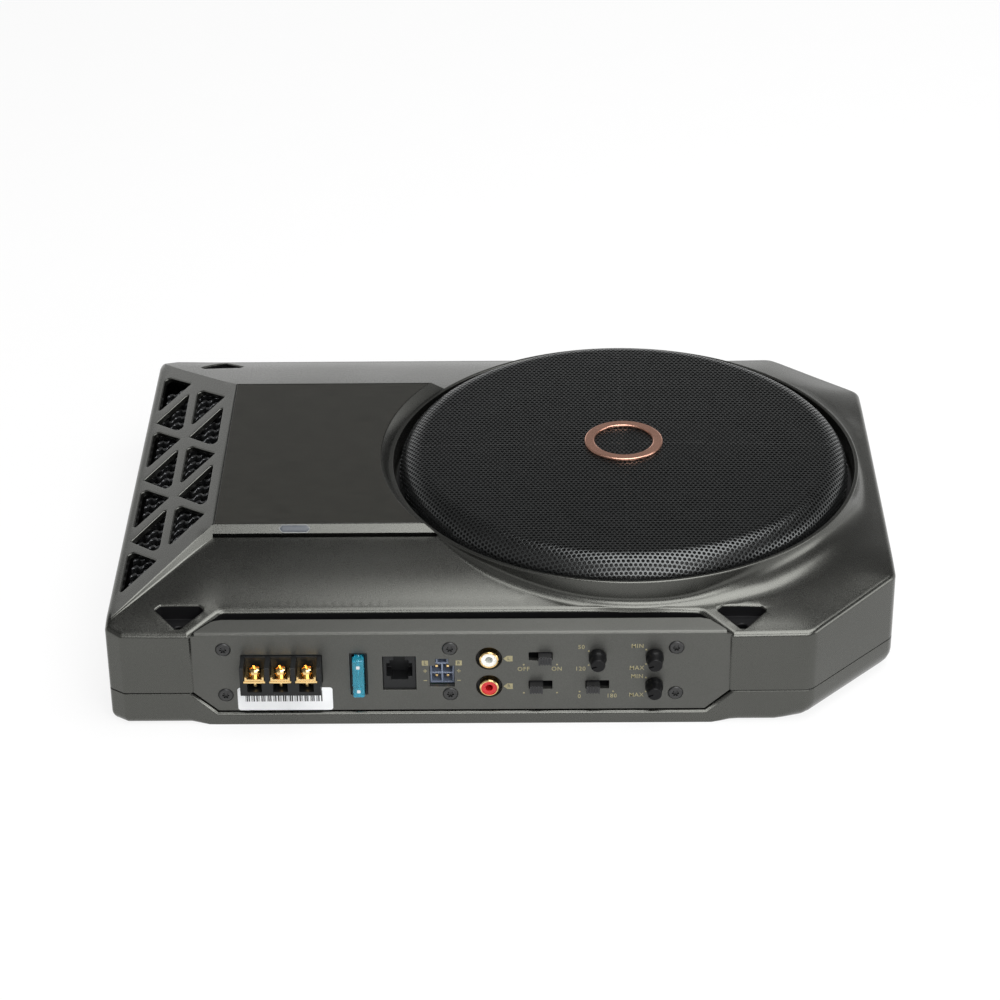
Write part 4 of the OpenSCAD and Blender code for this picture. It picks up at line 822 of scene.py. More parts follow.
def facet_lines(apex, sign):
    """Four lines from a facet's apex to its strip: two for each of its eased edges."""
    foot = (PLATE_X, sign * GROOVE_Y)
    outward = Vector((foot[1] - apex[1], apex[0] - foot[0])).normalized()
    outward *= sign if outward.y > 0 else -sign
    above = [Vector(slope_point(p.x, p.y)) for p in facet_top(apex, sign, FACET_EASE)]
    edge = [Vector(slope_point(p.x, p.y)) for p in facet_top(apex, sign, 0)]
    upper, lower, below = [], [], []
    for top, t in zip(edge, spread(0, 1, FACET_PARTS)):
        ease = FACET_EASE * facet_fade(t)
        plan = Vector(apex[:2]).lerp(Vector(foot), t)
        base = Vector((*plan, deck(*plan)))
        side = base - top
        step = min(ease, side.length * 0.3)
        upper.append(top + side.normalized() * step)
        lower.append(base - side.normalized() * step)
        plan += outward * ease
        below.append(Vector((*plan, deck(*plan))))
    return [[p[:] for p in line] for line in (above, upper, lower, below)]


def inlay_loop():
    """Plan of the glossy inlay's seat."""
    half = PLATE_HALF - INLAY_BORDER
    r = WELL_R + INLAY_BORDER
    end = math.pi - math.asin(half / r)
    well = [collar_point(r, turn, 0)[:2] for turn in spread(end, 2 * math.pi - end, WELL_PARTS)]
    left = PLATE_X + INLAY_BORDER
    return [(left, -half), *reversed(well), (left, half)]


def top_cover():
    """Upper casing, and the black painted shade on the walls of its pockets and of the recess behind the
    panel.
    """
    shell = Shell()
    corners = casing_corners(True)
    parts = edge_parts(corners, 4)

    def ring(d, height):
        return [(*p, height(*p)) for p in rounded(inset(corners, d), parts)]

    top = ring(EDGE_ROUND, deck)
    skirt = [(WALL, 0.0), (1.0, 0.0), (0.8, SKIRT), (0.3, SKIRT), (0.08, SKIRT + 0.07), (0, SKIRT + 0.3)]
    rings = [ring(d, lambda x, y, z=z: COVER_Z + z) for d, z in skirt]
    for inward, down in fillet(EDGE_ROUND, 4):
        edge = rounded(inset(corners, inward), parts)
        rings.append([(p.x, p.y, q[2] - down) for p, q in zip(edge, top)])
    shell.loft(rings)

    def left_spot(y):
        return min(range(len(top)), key=lambda i: (abs(top[i][0] - X_LEFT) > 3, abs(top[i][1] - y)))

    front, rear = left_spot(-APEX_Y), left_spot(APEX_Y)
    apexes = {1: top[rear], -1: top[front]}
    foot = [collar_point(COLLAR_R + collar_foot(turn), turn, 0) for turn in add_collar(shell)]
    behind, before = ([*facet_lines(apex, sign)[-1][1:-1], *groove_edge(sign)[:-1]]
                      for sign, apex in apexes.items())
    plan = [p[:2] for p in top[front:] + top[:rear + 1] + behind + foot + before[::-1]]
    shell.patch(plan, [pocket_loop(x, sign, POCKET_EASE) for x, sign in POCKET_SPOTS],
                lambda x, y: (x, y, deck(x, y)), 4.0)
    # Walls and floors of the pockets and of the recess, in black painted shade
    shade_shell = Shell()
    for x, sign in POCKET_SPOTS:
        add_pocket(shell, shade_shell, x, sign)
    add_recess_painted_shade(shade_shell, corners, parts)
    add_vents(shell, top[rear:front + 1])
    add_plate(shell, apexes)

    def crease(edge):
        """True on the ridge and on the plate's straight edges."""
        ends = [v.co / MM for v in edge.verts]
        level = all(abs(p.z - PLATE_Z) < 0.01 for p in ends)
        on_ridge = all(abs(p.x - PLATE_X) < 0.01 for p in ends)
        on_strip = all(abs(abs(p.y) - PLATE_HALF) < 0.01 for p in ends)
        return level and (on_ridge or on_strip) and edge.calc_face_angle(0) > math.radians(9)

    cover = shell.object("casing_cover", ease=crease, width=0.7)
    cover.modifiers["even_shading"].mode = "FACE_AREA_WITH_ANGLE"
    return cover, shade_shell.object("casing_painted_shade")


def add_recess_painted_shade(shade_shell, corners, parts):
    """Wall and floor of the gutter behind the panel's bevel, in black painted shade."""
    wall = [p for p in rounded(inset(corners, -0.06), parts)
            if abs(p.x - PANEL_X) < RECESS_HALF and Y_FRONT + 0.7 < p.y < 0]
    shade_shell.face([(*p, GUTTER_Z) for p in wall])
    shade_shell.loft([[(*p, COVER_Z + 0.6) for p in wall], [(*p, roof(*p) - 0.9) for p in wall]], closed=False)


def base_round(x, y):
    """Radius underneath: small on the lip below the panel, large at the right corners."""
    lip = (LIP_HALF - abs(x - PANEL_X)) / LIP_FADE + 1 if y < Y_FRONT + 1 else 0.0
    corner = min(x - X_RIGHT + RIGHT_CHAMFER[0], abs(y) + Y_FRONT + RIGHT_CHAMFER[1]) / CORNER_FADE + 1
    return BASE_ROUND + (LIP_ROUND - BASE_ROUND) * unit(lip) + (CORNER_ROUND - BASE_ROUND) * unit(corner)


def base_tray():
    """Lower casing: rounded underneath, hollow, with the panel's opening cut into its front."""
    shell = Shell()
    corners = casing_corners(False)
    parts = edge_parts(corners, 4)
    wall = rounded(corners, parts)
    within = rounded(inset(corners, 1), parts)

    def ring(d, z):
        return [(*p.lerp(q, d), z) for p, q in zip(wall, within)]

    def under(a):
        points = []
        for p, q in zip(wall, within):
            r = base_round(p.x, p.y)
            points.append((*p.lerp(q, r * (1 - math.sin(a))), r * (1 - math.cos(a))))
        return points

    rings = [under(a) for a in quarter(6)]
    rings += [ring(inward, SPLIT_Z - down) for inward, down in fillet(SPLIT_EASE, 3)]
    rings += [ring(WALL, SPLIT_Z), ring(WALL + 3, CORNER_ROUND + 1), ring(WALL + 9, FLOOR_Z)]
    shell.solid(rings)
    tray = shell.object("casing_base", sharp=30)
    tray.modifiers.clear()
    half, low = PANEL_HALF + 0.25, PANEL_LOW.z - OPENING_GAP
    foot_x, foot_z = PANEL_FOOT
    plan = [(-half, 40, 0), (-half, low + foot_z, 0), (foot_x - half, low, 0), (half - foot_x, low, 0),
            (half, low + foot_z, 0), (half, 40, 0)]
    edge = [(inward, Y_FRONT + down) for inward, down in fillet(OPENING_ROUND, 6)]
    opening = prism("panel_opening", plan, [(0, Y_FRONT + 9), *edge, (OPENING_ROUND, Y_FRONT - 5)])
    cut = tray.modifiers.new("cut", "BOOLEAN")
    cut.operation = "DIFFERENCE"
    cut.object = opening
    cut.solver = "EXACT"
    return bake(tray, "casing_base", 42, [opening])


def prism(name, plan, sections):
    """A cutting tool with its outline in the plane of the panel; sections hold growth and y."""
    shell = Shell()
    shell.solid([[(PANEL_X + p[0], y, p[1]) for p in inset(plan, -grow)] for grow, y in sections])
    piece = shell.object(name)
    piece.modifiers.clear()
    return piece


def bake(piece, name, sharp, leftovers=()):
    """Applies a piece's modifiers and sets its shading again."""
    bpy.context.view_layer.update()
    mesh = bpy.data.meshes.new_from_object(piece.evaluated_get(bpy.context.evaluated_depsgraph_get()))
    for old in [piece, *leftovers]:
        bpy.data.objects.remove(old)
    mesh.name = name
    work = bmesh.new()
    work.from_mesh(mesh)
    bmesh.ops.recalc_face_normals(work, faces=work.faces)
    return as_piece(name, mesh, work, sharp)


cover, cover_painted_shade = top_cover()
finish(cover, "casing", "casing_paint", "top_cover")
# The pockets and the recess get black painted shade
finish(cover_painted_shade, "casing", "casing_paint", "top_cover", "painted_shade_black")
finish(base_tray(), "casing", "casing_paint", "base_tray")


# Heat sink behind the vents

FIN_PITCH, FIN_T, FIN_ZIG, FIN_THROW = 6.6, 1.7, 6.2, 2.4
FIN_SUNK, FIN_SAMPLES = 3.7, 64
SINK_FOOT, SINK_BACK, SINK_EASE = 3.0, 4.0, 0.4
FIN_CREST = [(-0.5, -0.6), (-0.46, -0.32), (-0.32, -0.1), (0, 0), (0.32, -0.1), (0.46, -0.32), (0.5, -0.6)]


def heat_sink():
    """Zigzag fins with rounded crests that follow the vented slope, on a foot with a back wall."""
    low, high = node_box("heat_sink")
    shell = Shell()
    back = high.x - SINK_BACK
    count = int((high.y - low.y - FIN_THROW - FIN_T) / FIN_PITCH) + 1
    for i in range(count):
        first = low.y + FIN_T / 2 + i * FIN_PITCH
        rings = []
        for x in spread(low.x, back, FIN_SAMPLES):
            turn = math.sin(2 * math.pi * ((x - low.x) / FIN_ZIG % 1))
            y = first + FIN_THROW * (0.5 + 0.5 * turn / (0.35 + 0.65 * abs(turn)))
            top = vent_plane(x) - FIN_SUNK
            if abs(y) > PLATE_HALF:
                top = min(top, roof(x, y) - WALL - 0.5)
            ring = [(x, y + FIN_T * across, top + FIN_T * down) for across, down in FIN_CREST]
            foot = low.z + 1
            rings.append([(x, y - FIN_T / 2, foot), *ring, (x, y + FIN_T / 2, foot)])
        shell.loft(rings, closed=False)
        shell.face(rings[0])
    for left, bottom, top in ((low.x, 0.0, SINK_FOOT), (back, 2.0, PLATE_Z - 6 - low.z)):
        corners = box_corners(left, low.y, high.x, high.y, 0.8)
        levels = [(SINK_EASE, bottom), (0, bottom + SINK_EASE), (0, top - SINK_EASE), (SINK_EASE, top)]
        rings = [[(*p, low.z + z) for p in rounded(inset(corners, d), [1, 20, 1, 20], 3)] for d, z in levels]
        if left == back:
            rings[2:] = [[(x, y, min(z, roof(x, y) - WALL - 1)) for x, y, z in ring] for ring in rings[2:]]
        shell.loft(rings)
        shell.face(rings[-1])
    return shell.object("fin_block", sharp=50)


finish(heat_sink(), "casing", "sink_metal", "heat_sink")


# Grille

GRILLE_EDGE, GRILLE_RISE = 12.0, 1.2
GRILLE_FLAT = GRILLE_R - GRILLE_EDGE
GRILLE_SHOULDER = GRILLE_HIGH.z - GRILLE_RISE
SHEET_R = GRILLE_FLAT + GRILLE_EDGE * math.pi / 2
SHEET_T, SKIRT_LAP = 0.7, 1.6
HOLE_PITCH, HOLE_R = 2.15, 0.79


def grille_skin(u, v, sunk=0.0):
    """Lifts a point of the flat perforated sheet onto the pressed dome."""
    s = math.hypot(u, v)
    turn = math.atan2(v, u)
    bend = (s - GRILLE_FLAT) / GRILLE_EDGE
    if bend <= 0:
        r, z = s, GRILLE_SHOULDER + GRILLE_RISE * (1 - (s / GRILLE_FLAT) ** 2) - sunk
    elif bend < math.pi / 2:
        r = GRILLE_FLAT + (GRILLE_EDGE - sunk) * math.sin(bend)
        z = GRILLE_SHOULDER - GRILLE_EDGE + (GRILLE_EDGE - sunk) * math.cos(bend)
    else:
        r, z = GRILLE_R - sunk, GRILLE_SHOULDER - GRILLE_EDGE - (bend - math.pi / 2) * GRILLE_EDGE
    return collar_point(r, turn, z)


def grille_quarter(name, quadrant):
    """A quarter of the perforated dome: one six-cornered cell of sheet round each hole."""
    shell = Shell()
    row_pitch = HOLE_PITCH * 0.866
    rows = int(SHEET_R / row_pitch) + 1
    cell = HOLE_PITCH / math.sqrt(3)
    ways = [math.pi / 6 + math.pi / 6 * k for k in range(12)]
    for row in range(-rows, rows + 1):
        v = row * row_pitch
        for column in range(-rows, rows + 1):
            u = (column + (row % 2) / 2) * HOLE_PITCH
            if math.hypot(u, v) > SHEET_R - 0.6 or int(u >= 0) + 2 * int(v >= 0) != quadrant:
                continue
            outer, lip, back = [], [], []
            for k, way in enumerate(ways):
                reach = cell if k % 2 == 0 else cell * math.cos(math.pi / 6)
                outer.append(grille_skin(u + reach * math.cos(way), v + reach * math.sin(way)))
                hu, hv = u + HOLE_R * math.cos(way), v + HOLE_R * math.sin(way)
                lip.append(grille_skin(hu, hv, 0.05))
                back.append(grille_skin(hu, hv, SHEET_T))
            shell.loft([outer, lip, back])
    return shell.object(name, sharp=55, join=0.02)


def grille_skirt():
    """Plain border below the last holes."""
    shell = Shell()
    start = SHEET_R - SKIRT_LAP
    end = SHEET_R + GRILLE_SHOULDER - GRILLE_EDGE - GRILLE_LOW.z
    levels = [(start, 0.12), (start + SKIRT_LAP / 2, 0.1), (SHEET_R, 0.05), (end, 0.05), (end, SHEET_T),
              (start, SHEET_T)]
    shell.loft([[grille_skin(u, v, sunk) for u, v in circle(0, 0, s, 240)] for s, sunk in levels])
    return shell.object("grille_skirt")


for quadrant in range(4):
    finish(grille_quarter(f"grille_sheet_{quadrant + 1}", quadrant), "casing", "grille_steel", "grille")
finish(grille_skirt(), "casing", "grille_steel", "grille")


# Connection panel

COLUMN = (15.4, 40.0, 64.6)
ROW_LOW, ROW_HIGH = 19.6, 34.4
SWITCH_SPOTS = [(COLUMN[0], ROW_HIGH), (COLUMN[0], ROW_LOW), (COLUMN[1], ROW_LOW)]
KNOB_SPOTS = [(COLUMN[1], ROW_HIGH), (COLUMN[2], ROW_HIGH), (COLUMN[2], ROW_LOW)]
SCREW_SPOTS = [(-23.8 + i * 97.8, z) for i in (-1, 0, 1) for z in (15.1, 38.7)]
PHONO_X, PHONO_ROWS = -6.9, (19.0, 33.4)
INLET_X, INLET_STEP, INLET_KEY = -27.3, 10.9, 2.85
OPENING_FIT, FUSE_GAP, SWITCH_HALF = 0.15, 1.2, (5.1, 2.15)
TERMINAL_OPENING = (-114.25, 21.25, -79.15, 35.75)
SCREW_OPENING_R, PHONO_OPENING_R, KNOB_OPENING_R = 3.3, 5.7, 3.55
PANEL_EASE, PANEL_ROUND, PANEL_T = 0.3, 1.6, 2.4
BEVEL_BREAK, BEVEL_FLICK = 0.85, 2.2


def panel_point(x, z, depth=0.0):
    return (x, PANEL_Y + depth, z)


def panel_openings(grow):
    """Every opening in the panel's face."""
    def around(name, gap):
        low, high = node_box(name)
        return box_corners(low.x - gap, low.z - gap, high.x + gap, high.z + gap)

    wide, tall = SWITCH_HALF
    shapes = [box_corners(x - wide, z - tall, x + wide, z + tall) for x, z in SWITCH_SPOTS]
    shapes += [box_corners(*TERMINAL_OPENING), around("remote_jack", OPENING_FIT), around("fuse", FUSE_GAP)]
    inlet = around("speaker_inlet", OPENING_FIT)
    step = inlet[0][1] + INLET_STEP
    key = [(INLET_X + side * INLET_KEY, z, 0.3) for side, z in
           ((1, step), (1, inlet[2][1]), (-1, inlet[2][1]), (-1, step))]
    shapes.append([*inlet[:2], (inlet[1][0], step, 0.3), *key, (inlet[0][0], step, 0.3)])
    loops = [rounded(inset(shape, -grow), [2] * len(shape), 3) for shape in shapes]
    loops += [circle(x, z, SCREW_OPENING_R + grow) for x, z in SCREW_SPOTS]
    loops += [circle(PHONO_X, z, PHONO_OPENING_R + grow, 56) for z in PHONO_ROWS]
    loops += [circle(x, z, KNOB_OPENING_R + grow) for x, z in KNOB_SPOTS]
    return loops


def connection_panel():
    """Flat face with its openings, a raked bevel above it and a gutter behind that."""
    shell = Shell()
    foot_x, foot_z = PANEL_FOOT
    left, right = PANEL_X - PANEL_HALF, PANEL_X + PANEL_HALF
    low, top = PANEL_LOW.z, FACE_TOP - PANEL_ROUND
    corners = [(left + foot_x, low, 0.6), (right - foot_x, low, 0.6), (right, low + foot_z, 0.6),
               (right, top, 0), (left, top, 0), (left, low + foot_z, 0.6)]

    def ring(d, depth):
        loop = rounded(inset(corners, d), [4, 2, 4, 4, 4, 2], 4)
        return [panel_point(p.x, top if p.y > top - 0.5 else p.y, depth) for p in loop]

    rings = [ring(down, inward) for inward, down in fillet(PANEL_EASE, 3)]
    rings.append(ring(0, PANEL_T))
    shell.loft(rings)
    pierced(shell, [(p[0], p[2]) for p in rings[0]], panel_openings, panel_point, 0, 0.2, PANEL_T)

    profile = [(inward, FACE_TOP - down) for inward, down in fillet(PANEL_ROUND, 6, BEVEL_TILT)]
    depth, z = profile[-1]
    run, rise = BEVEL_DEPTH - depth, FACE_TOP + BEVEL_RISE - z
    profile += [(depth + run * t, z + rise * t) for t in (0.3, 0.6, 0.85, 0.94, 0.985, 1)]
    rows = []
    for depth, z in profile:
        t = max(0.0, (z - FACE_TOP) / BEVEL_RISE)
        past = max(0.0, t - BEVEL_BREAK)
        half = PANEL_HALF - BEVEL_END - BEVEL_CUT * (t + BEVEL_FLICK * past ** 2 / (1 - BEVEL_BREAK))
        rows.append([panel_point(x, z, depth) for x in spread(PANEL_X - half, PANEL_X + half, 32)])
    depth, z = profile[-1]
    for back, drop in ((0.3, 0.02), (0.6, 0.3), (0.8, 0.8), (1.0, 6)):
        rows.append([(p[0], PANEL_Y + depth + back, z - drop) for p in rows[len(profile) - 1]])
    shell.loft(rows, closed=False)
    for end in (0, -1):
        side = [row[end] for row in rows[:len(profile)]]
        shell.loft([side, [(x, y + 0.2, z - 7) for x, y, z in side]], closed=False)
    return shell.object("connection_panel", sharp=35)


finish(connection_panel(), "casing", "panel_paint", "control_panel")


# Printed marks, a hair proud of the panel

MARK_LIFT, LETTER_WIDE = 0.03, 0.95
MARK_SIZE, TAG_SIZE, DOT_R = 2.1, 1.7, 0.42
TAG_X, TAG_Z = 7.3, 31.3


def letters(text, x, z, height):
    """Plan points and faces of a short word or number centred at x, z on the panel."""
    curve = bpy.data.curves.new("word", "FONT")
    curve.body = text
    curve.align_x = "CENTER"
    curve.align_y = "CENTER"
    curve.size = height / 0.72
    curve.space_character = 1.15
    curve.offset = 0.016 * height
    curve.resolution_u = 3
    word = placed("word", curve)
    bpy.context.view_layer.update()
    mesh = bpy.data.meshes.new_from_object(word.evaluated_get(bpy.context.evaluated_depsgraph_get()))
    points = [(v.co.x * LETTER_WIDE + x, v.co.y + z) for v in mesh.vertices]
    faces = [list(face.vertices) for face in mesh.polygons]
    bpy.data.objects.remove(word)
    bpy.data.curves.remove(curve)
    bpy.data.meshes.remove(mesh)
    return points, faces


def printed(name, look, slot, words=(), shapes=(), lift=MARK_LIFT):
    """One piece that holds words (text, x, z, height) and flat shapes (loops of x, z)."""
    shell = Shell()
    for word in words:
        points, faces = letters(*word)
        ids = shell.add([panel_point(x, z, -lift) for x, z in points])
        shell.faces += [[ids[i] for i in face] for face in faces]
    for loop in shapes:
        shell.face([panel_point(x, z, -lift) for x, z in loop])
    finish(shell.object(name), "casing", slot, look=look)


def bar(x, z, w, h):
    return [(x - w / 2, z - h / 2), (x + w / 2, z - h / 2), (x + w / 2, z + h / 2), (x - w / 2, z + h / 2)]


def panel_marks():
    """Words, numbers, dots and the tags beside the inlet and the phono sockets."""
    places = [("OFF", 8.0, 27.9), ("ON", 22.4, 27.9), ("0", 32.2, 13.5), ("180", 46.3, 13.7),
              ("50", 33.0, 39.1), ("120", 32.6, 27.9), ("MIN", 57.2, 39.5), ("MAX", 57.0, 28.2),
              ("MIN", 57.2, 23.8), ("MAX", 57.0, 14.1)]
    dots = [(8.1, 30.2), (22.5, 30.2), (8.1, 15.5), (22.5, 15.5), (32.3, 16.0), (46.9, 16.0),
            (36.2, 37.1), (36.2, 29.8), (61.0, 37.7), (61.0, 30.2), (61.0, 23.2), (61.0, 15.9)]
    shapes = [circle(x, z, DOT_R, 16) for x, z in dots]
    for x in (INLET_X - TAG_X, INLET_X + TAG_X):
        shapes += [bar(x, TAG_Z, 2.7, 2.6), bar(x, 27.2, 1.7, 0.42), bar(x, 27.2, 0.42, 1.7),
                   bar(x, 22.2, 1.6, 0.42)]
    for z in PHONO_ROWS:
        shapes.append([(3.3, z - 1.45), (3.3, z + 1.45), (0.9, z + 1.45), (-0.7, z), (0.9, z - 1.45)])
    words = [(*place, MARK_SIZE) for place in places]
    printed("panel_lettering", "panel_ink", "panel_paint", words, shapes)
    tags = [("L", 1.6, PHONO_ROWS[1], TAG_SIZE), ("R", 1.6, PHONO_ROWS[0], TAG_SIZE),
            ("L", INLET_X - TAG_X, TAG_Z, TAG_SIZE), ("R", INLET_X + TAG_X, TAG_Z, TAG_SIZE)]
    printed("panel_tag_letters", "panel_paint", "panel_paint", tags, lift=2 * MARK_LIFT)


panel_marks()


def rating_label():
    """Paper label with rounded corners and a row of plain bars."""
    low, high = node_box("blank_label")
    shell = Shell()
    corners = box_corners(low.x, low.z, high.x, high.z, 1.3)
    thick = PANEL_Y - low.y
    rings = [[panel_point(p.x, p.y, -lift) for p in rounded(inset(corners, d), [6] * 4, 6)]
             for d, lift in ((0, 0), (0, thick * 0.7), (thick * 0.3, thick))]
    shell.loft(rings)
    shell.face(rings[-1])
    finish(shell.object("paper_label"), "casing", "label_paper", "blank_label")
    bars = []
    x = low.x + 3.4
    k = 0
    while x < high.x - 5:
        width = 0.2 + 0.19 * ((k * 7 + k * k * 3) % 4)
        bars.append(bar(x + width / 2, 14.6, width, 5.8))
        x += width + 0.26 + 0.2 * ((k * 5 + k * k) % 3)
        k += 1
    printed("label_bars", "label_ink", "label_paper", (), bars, thick + 0.02)


rating_label()


# Blade fuse

BLADE_IN, WIRE_R = 3.4, 0.35


def blade_fuse():
    """Tinted body with a thicker head, and the two blades and the wire that show through it."""
    low, high = node_box("fuse")
    x, z = (low.x + high.x) / 2, (low.z + high.z) / 2
    wide, tall = high.x - low.x, high.z - low.z
    front = low.y

    def block(w, h, middle, y, radius, parts, steps):
        corners = box_corners(x - w, middle - h, x + w, middle + h, radius)
        return [(p.x, y, p.y) for p in rounded(corners, [parts] * 4, steps)]

    body = Shell()
    sections = [(0.55, 0.9, 0), (0.2, 0.35, 0.15), (0, 0, 0.6), (0, 0, 3.6), (0.4, 1.2, 4.0),
                (0.4, 1.2, 11.3)]
    body.solid([block(wide / 2 - shrink_x, tall / 2 - shrink_z, z, front + deep, 0.7, 2, 5)
                for shrink_x, shrink_z, deep in sections])
    finish(body.object("fuse_body", sharp=30), "fuse", "fuse_plastic", "fuse")
    metal = Shell()
    for side in (-1, 1):
        blade = z + side * (tall / 2 - BLADE_IN)
        for w, h, y0, y1 in ((0.32, 2.6, front + 6.5, high.y), (0.75, 0.8, front - 0.03, front + 6.5)):
            metal.solid([block(w, h, blade, y, 0.25, 1, 3) for y in (y0, y1)])
    wire = []
    for t in spread(0, 1, 40):
        y = front + 2.4 + 1.4 * math.sin(3 * math.pi * t)
        level = z + (t - 0.5) * (tall - 2 * BLADE_IN)
        wire.append([(px, py, level) for px, py in circle(x, y, WIRE_R, 8)])
    metal.loft(wire)
    finish(metal.object("fuse_blades"), "fuse", "fuse_plastic", "fuse", "blade_zinc")


blade_fuse()


# Indicator lights in the bevel strips

LENS_X = -93.2
LENS_CORNERS = [(-6.9, 0, 0.3), (-5.5, -1.6, 0.4), (5.5, -1.6, 0.4), (6.9, 0, 0.3), (5.5, 1.6, 0.4),
                (-5.5, 1.6, 0.4)]


def indicator(name, sign):
    """Six-cornered lens with a thin pale frame, lying in the strip beside the plate."""
    down = Vector((0, sign * (STRIP_LOW_Y - PLATE_HALF), STRIP_LOW_Z - PLATE_Z))
    out = Vector((0, sign * (PLATE_Z - STRIP_LOW_Z), STRIP_LOW_Y - PLATE_HALF)).normalized()
    middle = Vector((LENS_X, sign * PLATE_HALF, PLATE_Z)) + down / 2
    down.normalize()

    def ring(grow, lift):
        loop = rounded(inset(LENS_CORNERS, -grow), [2] * 6, 3)
        return [middle + Vector((p.x, 0, 0)) + down * p.y + out * lift for p in loop]

    border = Shell()
    border.loft([ring(0.3, -0.5), ring(0.3, 0.06), ring(0.22, 0.14), ring(-0.15, 0.14), ring(-0.22, 0.06),
                 ring(-0.22, -0.4)])
    finish(border.object(name + "_frame"), "casing", "indicator_lens", "indicator_lights", "frame_silver")
    lens = Shell()
    levels = [ring(-0.22, -0.3), ring(-0.22, 0.02), ring(-0.4, 0.09), ring(-0.9, 0.15)]
    lens.loft(levels)
    lens.face(levels[-1])
    finish(lens.object(name + "_lens"), "casing", "indicator_lens", "indicator_lights")


indicator("power_light", 1)
indicator("protect_light", -1)


# Soft suspension of the cone, in wedges between the casing and the cone

SUSPENSION_PARTS, SUSPENSION_STEPS = 12, 10
FABRIC_T, SURROUND_LIP, CONE_LIP, LIP_T, GLUE = 1.0, 2.5, 2.6, 0.6, 0.03
SPIDER_LIP, SPIDER_WAVES = 4.3, 4


def node_radius(name):
    low, high = node_box(name)
    return (high.x - low.x) / 2


def suspension(name, slot, section, inner, outer):
    """Ring of soft wedges between the cone and the casing."""
    wedge_turn = 2 * math.pi / SUSPENSION_PARTS
    level = section[0][1]
    for part in range(SUSPENSION_PARTS):
        turns = spread(part * wedge_turn, (part + 1) * wedge_turn, SUSPENSION_STEPS)
        wedge = Shell()
        wedge.solid([[collar_point(r, turn, z) for r, z in section] for turn in turns])
        piece = finish(wedge.object(f"{name}_{part + 1}"), None, slot, name)
        middle = (part + 0.5) * wedge_turn
        fixed = Vector(collar_point(outer * math.cos(wedge_turn / 2), middle, level)) * MM
        moving = Vector(collar_point(inner, middle, level)) * MM
        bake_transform(piece)


def cone_surround():
    """Half roll with a lip glued on the cone's edge and one on the basket."""
    base = node_box("surround")[0].z
    rim = node_radius("surround")
    cone_edge = node_radius("cone")
    roll_out = rim - SURROUND_LIP
    roll = node_box("surround")[1].z - base
    middle = roll_out - roll
    seat = FABRIC_T + GLUE
    lip_top = seat + LIP_T

    def arc(radius, start, end):
        turns = spread(start, end, 24)
        return [(middle - radius * math.cos(a), base + radius * math.sin(a)) for a in turns]

    thin = roll - FABRIC_T
    section = [(cone_edge - CONE_LIP, base + lip_top)]
    section += arc(roll, math.asin(lip_top / roll), math.pi - math.asin(FABRIC_T / roll))
    section += [(rim, base + FABRIC_T), (rim, base)]
    section += arc(thin, math.pi, math.asin(seat / thin))
    section += [(cone_edge - CONE_LIP, base + seat)]
    suspension("surround", "surround_rubber", section, cone_edge, roll_out)


def coil_spider():
    """Corrugated disc between the coil and the basket's step."""
    base = node_box("spider")[0].z + FABRIC_T
    rim = node_radius("spider")
    inner = node_radius("voice_coil") + GLUE
    outer = rim - SPIDER_LIP
    wave = []
    for share in spread(0, 1, 12 * SPIDER_WAVES):
        rise = FABRIC_T * math.sin(2 * math.pi * SPIDER_WAVES * share)
        wave.append((inner + (outer - inner) * share, base + rise))
    section = wave + [(rim, base), (rim, base + FABRIC_T)]
    section += [(r, z + FABRIC_T) for r, z in reversed(wave)]
    suspension("spider", "spider_fabric", section, inner, outer)


cone_surround()
coil_spider()


# Soft edges on the solids that show

def ease_node(name, width):
    piece = frame["nodes"][name]
    weld = piece.modifiers.new("join", "WELD")
    weld.merge_threshold = 1e-6
    bevel = piece.modifiers.new("ease", "BEVEL")
    bevel.width = width * MM
    bevel.segments = 2
    bevel.limit_method = "ANGLE"
    bevel.angle_limit = math.radians(40)
    bevel.miter_outer = "MITER_ARC"
    normals = piece.modifiers.new("even_shading", "WEIGHTED_NORMAL")
    normals.keep_sharp = True


SOFT_EDGES = {
    0.12: ("speaker_inlet", "terminal_contacts", "clamp_1", "clamp_2", "clamp_3"),
    0.15: ("crossover_knob", "level_knob", "boost_knob"),
    0.2: ("terminal_block", "fuse_holder", "remote_jack", "phase_slider", "sense_slider", "load_slider",
          "display_inlay"),
    0.5: ("badge",),
}
for width, names in SOFT_EDGES.items():
    for name in names:
        ease_node(name, width)


# Stage, light and camera; floor and lights are set in metres

FLOOR_REACH = 40.0


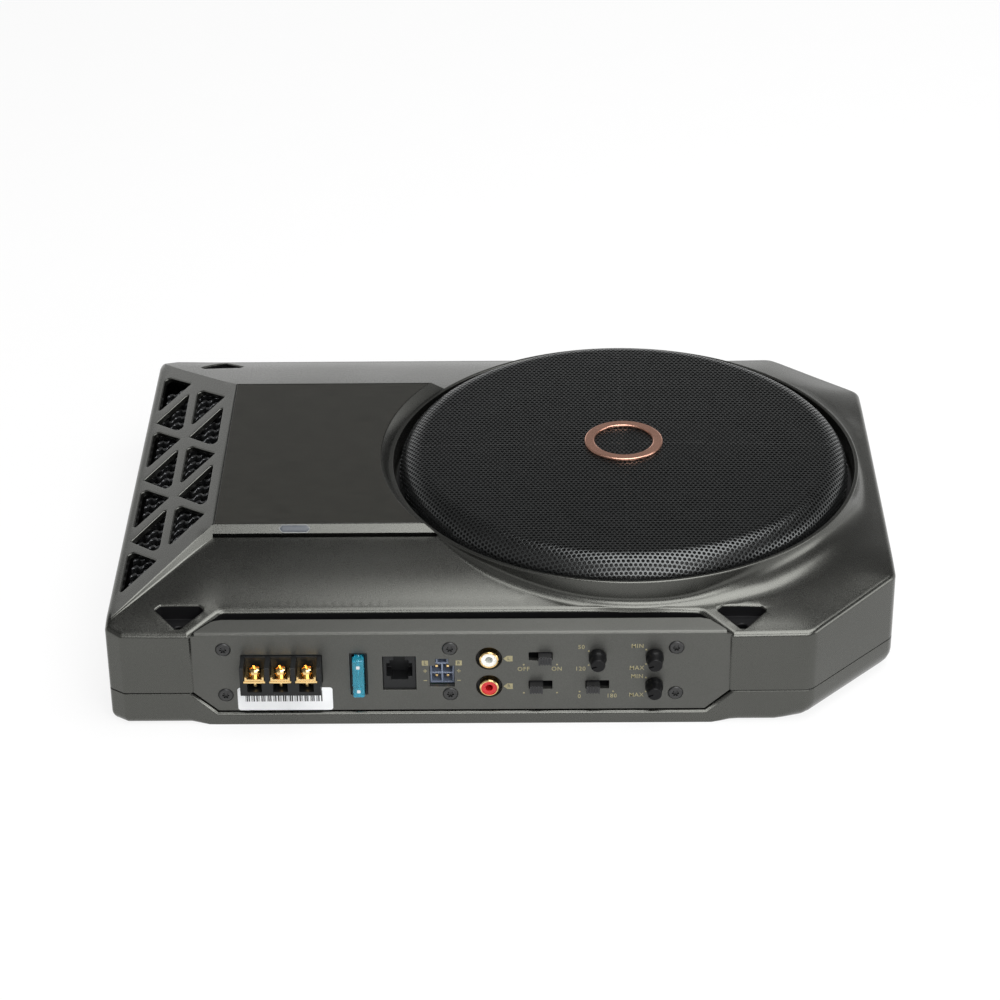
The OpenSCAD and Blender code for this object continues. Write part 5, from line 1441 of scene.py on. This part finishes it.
def stage_floor():
    """Pale floor that keeps the object's shadow and shows white around it."""
    mesh = bpy.data.meshes.new("floor")
    corners = [(x, y, 0) for x, y, _ in box_corners(-FLOOR_REACH, -FLOOR_REACH, FLOOR_REACH, FLOOR_REACH)]
    mesh.from_pydata(corners, [], [range(4)])
    floor = placed("floor", mesh)
    s = material("floor_white")
    grain = s.noise(30, 2)
    along = s.add("ShaderNodeSeparateXYZ", None, {0: s.place()})[1]
    near = s.span(along, -1.1, -0.42, 0.2, 1.0)
    tone = s.vary(grain, 0.9, 0.92) * near
    base = s.add("ShaderNodeCombineColor", None, {0: tone, 1: tone, 2: tone})[0]
    matt = s.surface(Base_Color=base, Roughness=0.9, Specular_IOR_Level=0.2)
    path = s.add("ShaderNodeLightPath")
    away = s.add("ShaderNodeVectorMath", {"operation": "LENGTH"}, {0: s.place()})[1]
    seen = s.span(path[0] + path[3] + path[6], 0, 1) * s.span(away, 0.9, 2.4, 0.86, 0.4) * near
    white = s.add("ShaderNodeEmission", None, {"Color": (1, 1, 1), "Strength": 1.0})[0]
    s.out(s.add("ShaderNodeMixShader", None, {0: seen, 1: matt, 2: white})[0])
    mesh.materials.append(FINISHES["floor_white"])
    floor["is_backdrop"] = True


def soft_box(name, place, aim, size, strength):
    light = bpy.data.lights.new(name, "AREA")
    light.shape = "RECTANGLE"
    light.size, light.size_y = size
    light.energy = strength * size[0] * size[1] * math.pi
    lamp = placed(name, light)
    lamp.location = place
    lamp.rotation_euler = (Vector(aim) - Vector(place)).to_track_quat("-Z", "Y").to_euler()


def studio_world():
    world = bpy.data.worlds.new("studio")
    scene.world = world
    s = Shader(world)
    way = s.add("ShaderNodeSeparateXYZ", None, {0: s.add("ShaderNodeTexCoord")[0]})
    behind = s.ramp(way[2], (0.0, 1.3), (0.13, 1.2), (0.27, 0.5), (0.42, 0.33), (0.55, 0.14), (1.0, 0.08))
    before = s.ramp(way[2], (0.0, 0.3), (0.3, 0.3), (0.6, 0.35), (1.0, 0.15))
    shade = s.blend(s.span(way[1], -0.25, 0.25), before, behind)
    glow = s.add("ShaderNodeBackground", None, {"Color": shade, "Strength": 1.0})[0]
    s.add("ShaderNodeOutputWorld", None, {"Surface": glow})


def photo_camera():
    eye = Vector((8.92, -1186.48, 746.25)) * MM
    forward = Vector((-0.00833437, 0.85881255, -0.51222216))
    up = Vector((0.00569954, 0.51227243, 0.85880409))
    right = forward.cross(up)
    data = bpy.data.cameras.new("photo_camera")
    data.sensor_width = 36
    data.lens = 106.52
    data.shift_y = 0.0012
    data.clip_start, data.clip_end = 0.05, 200
    camera = placed("photo_camera", data)
    turn = Matrix((right, up, -forward)).transposed()
    camera.matrix_world = Matrix.Translation(eye) @ turn.to_4x4()
    scene.camera = camera


stage_floor()
soft_box("overhead", (0.4, -0.48, 1.35), (0.4, -0.48, 0), (1.1, 1.05), 4.6)
soft_box("overhead_back", (0.42, 0.29, 1.35), (0.42, 0.29, 0), (1.1, 0.48), 4.4)
soft_box("front", (0.42, -1.9, 0.95), (0, 0, 0.05), (1.5, 0.6), 4.7)
soft_box("front_top", (0.45, -1.5, 1.25), (0.1, -0.1, 0.05), (1.3, 0.5), 3.5)
soft_box("right", (2.0, -0.4, 0.4), (-0.15, -0.09, 0.06), (1.0, 0.8), 3.0)
soft_box("left_back", (-1.3, 2.6, 0.95), (-0.15, 0, 0.06), (1.6, 0.7), 0.4)
studio_world()
photo_camera()

visual_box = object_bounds()
boxes = {"cad": cad_box, "visual": visual_box}
{name: [list(corner) for corner in box] for name, box in boxes.items()}
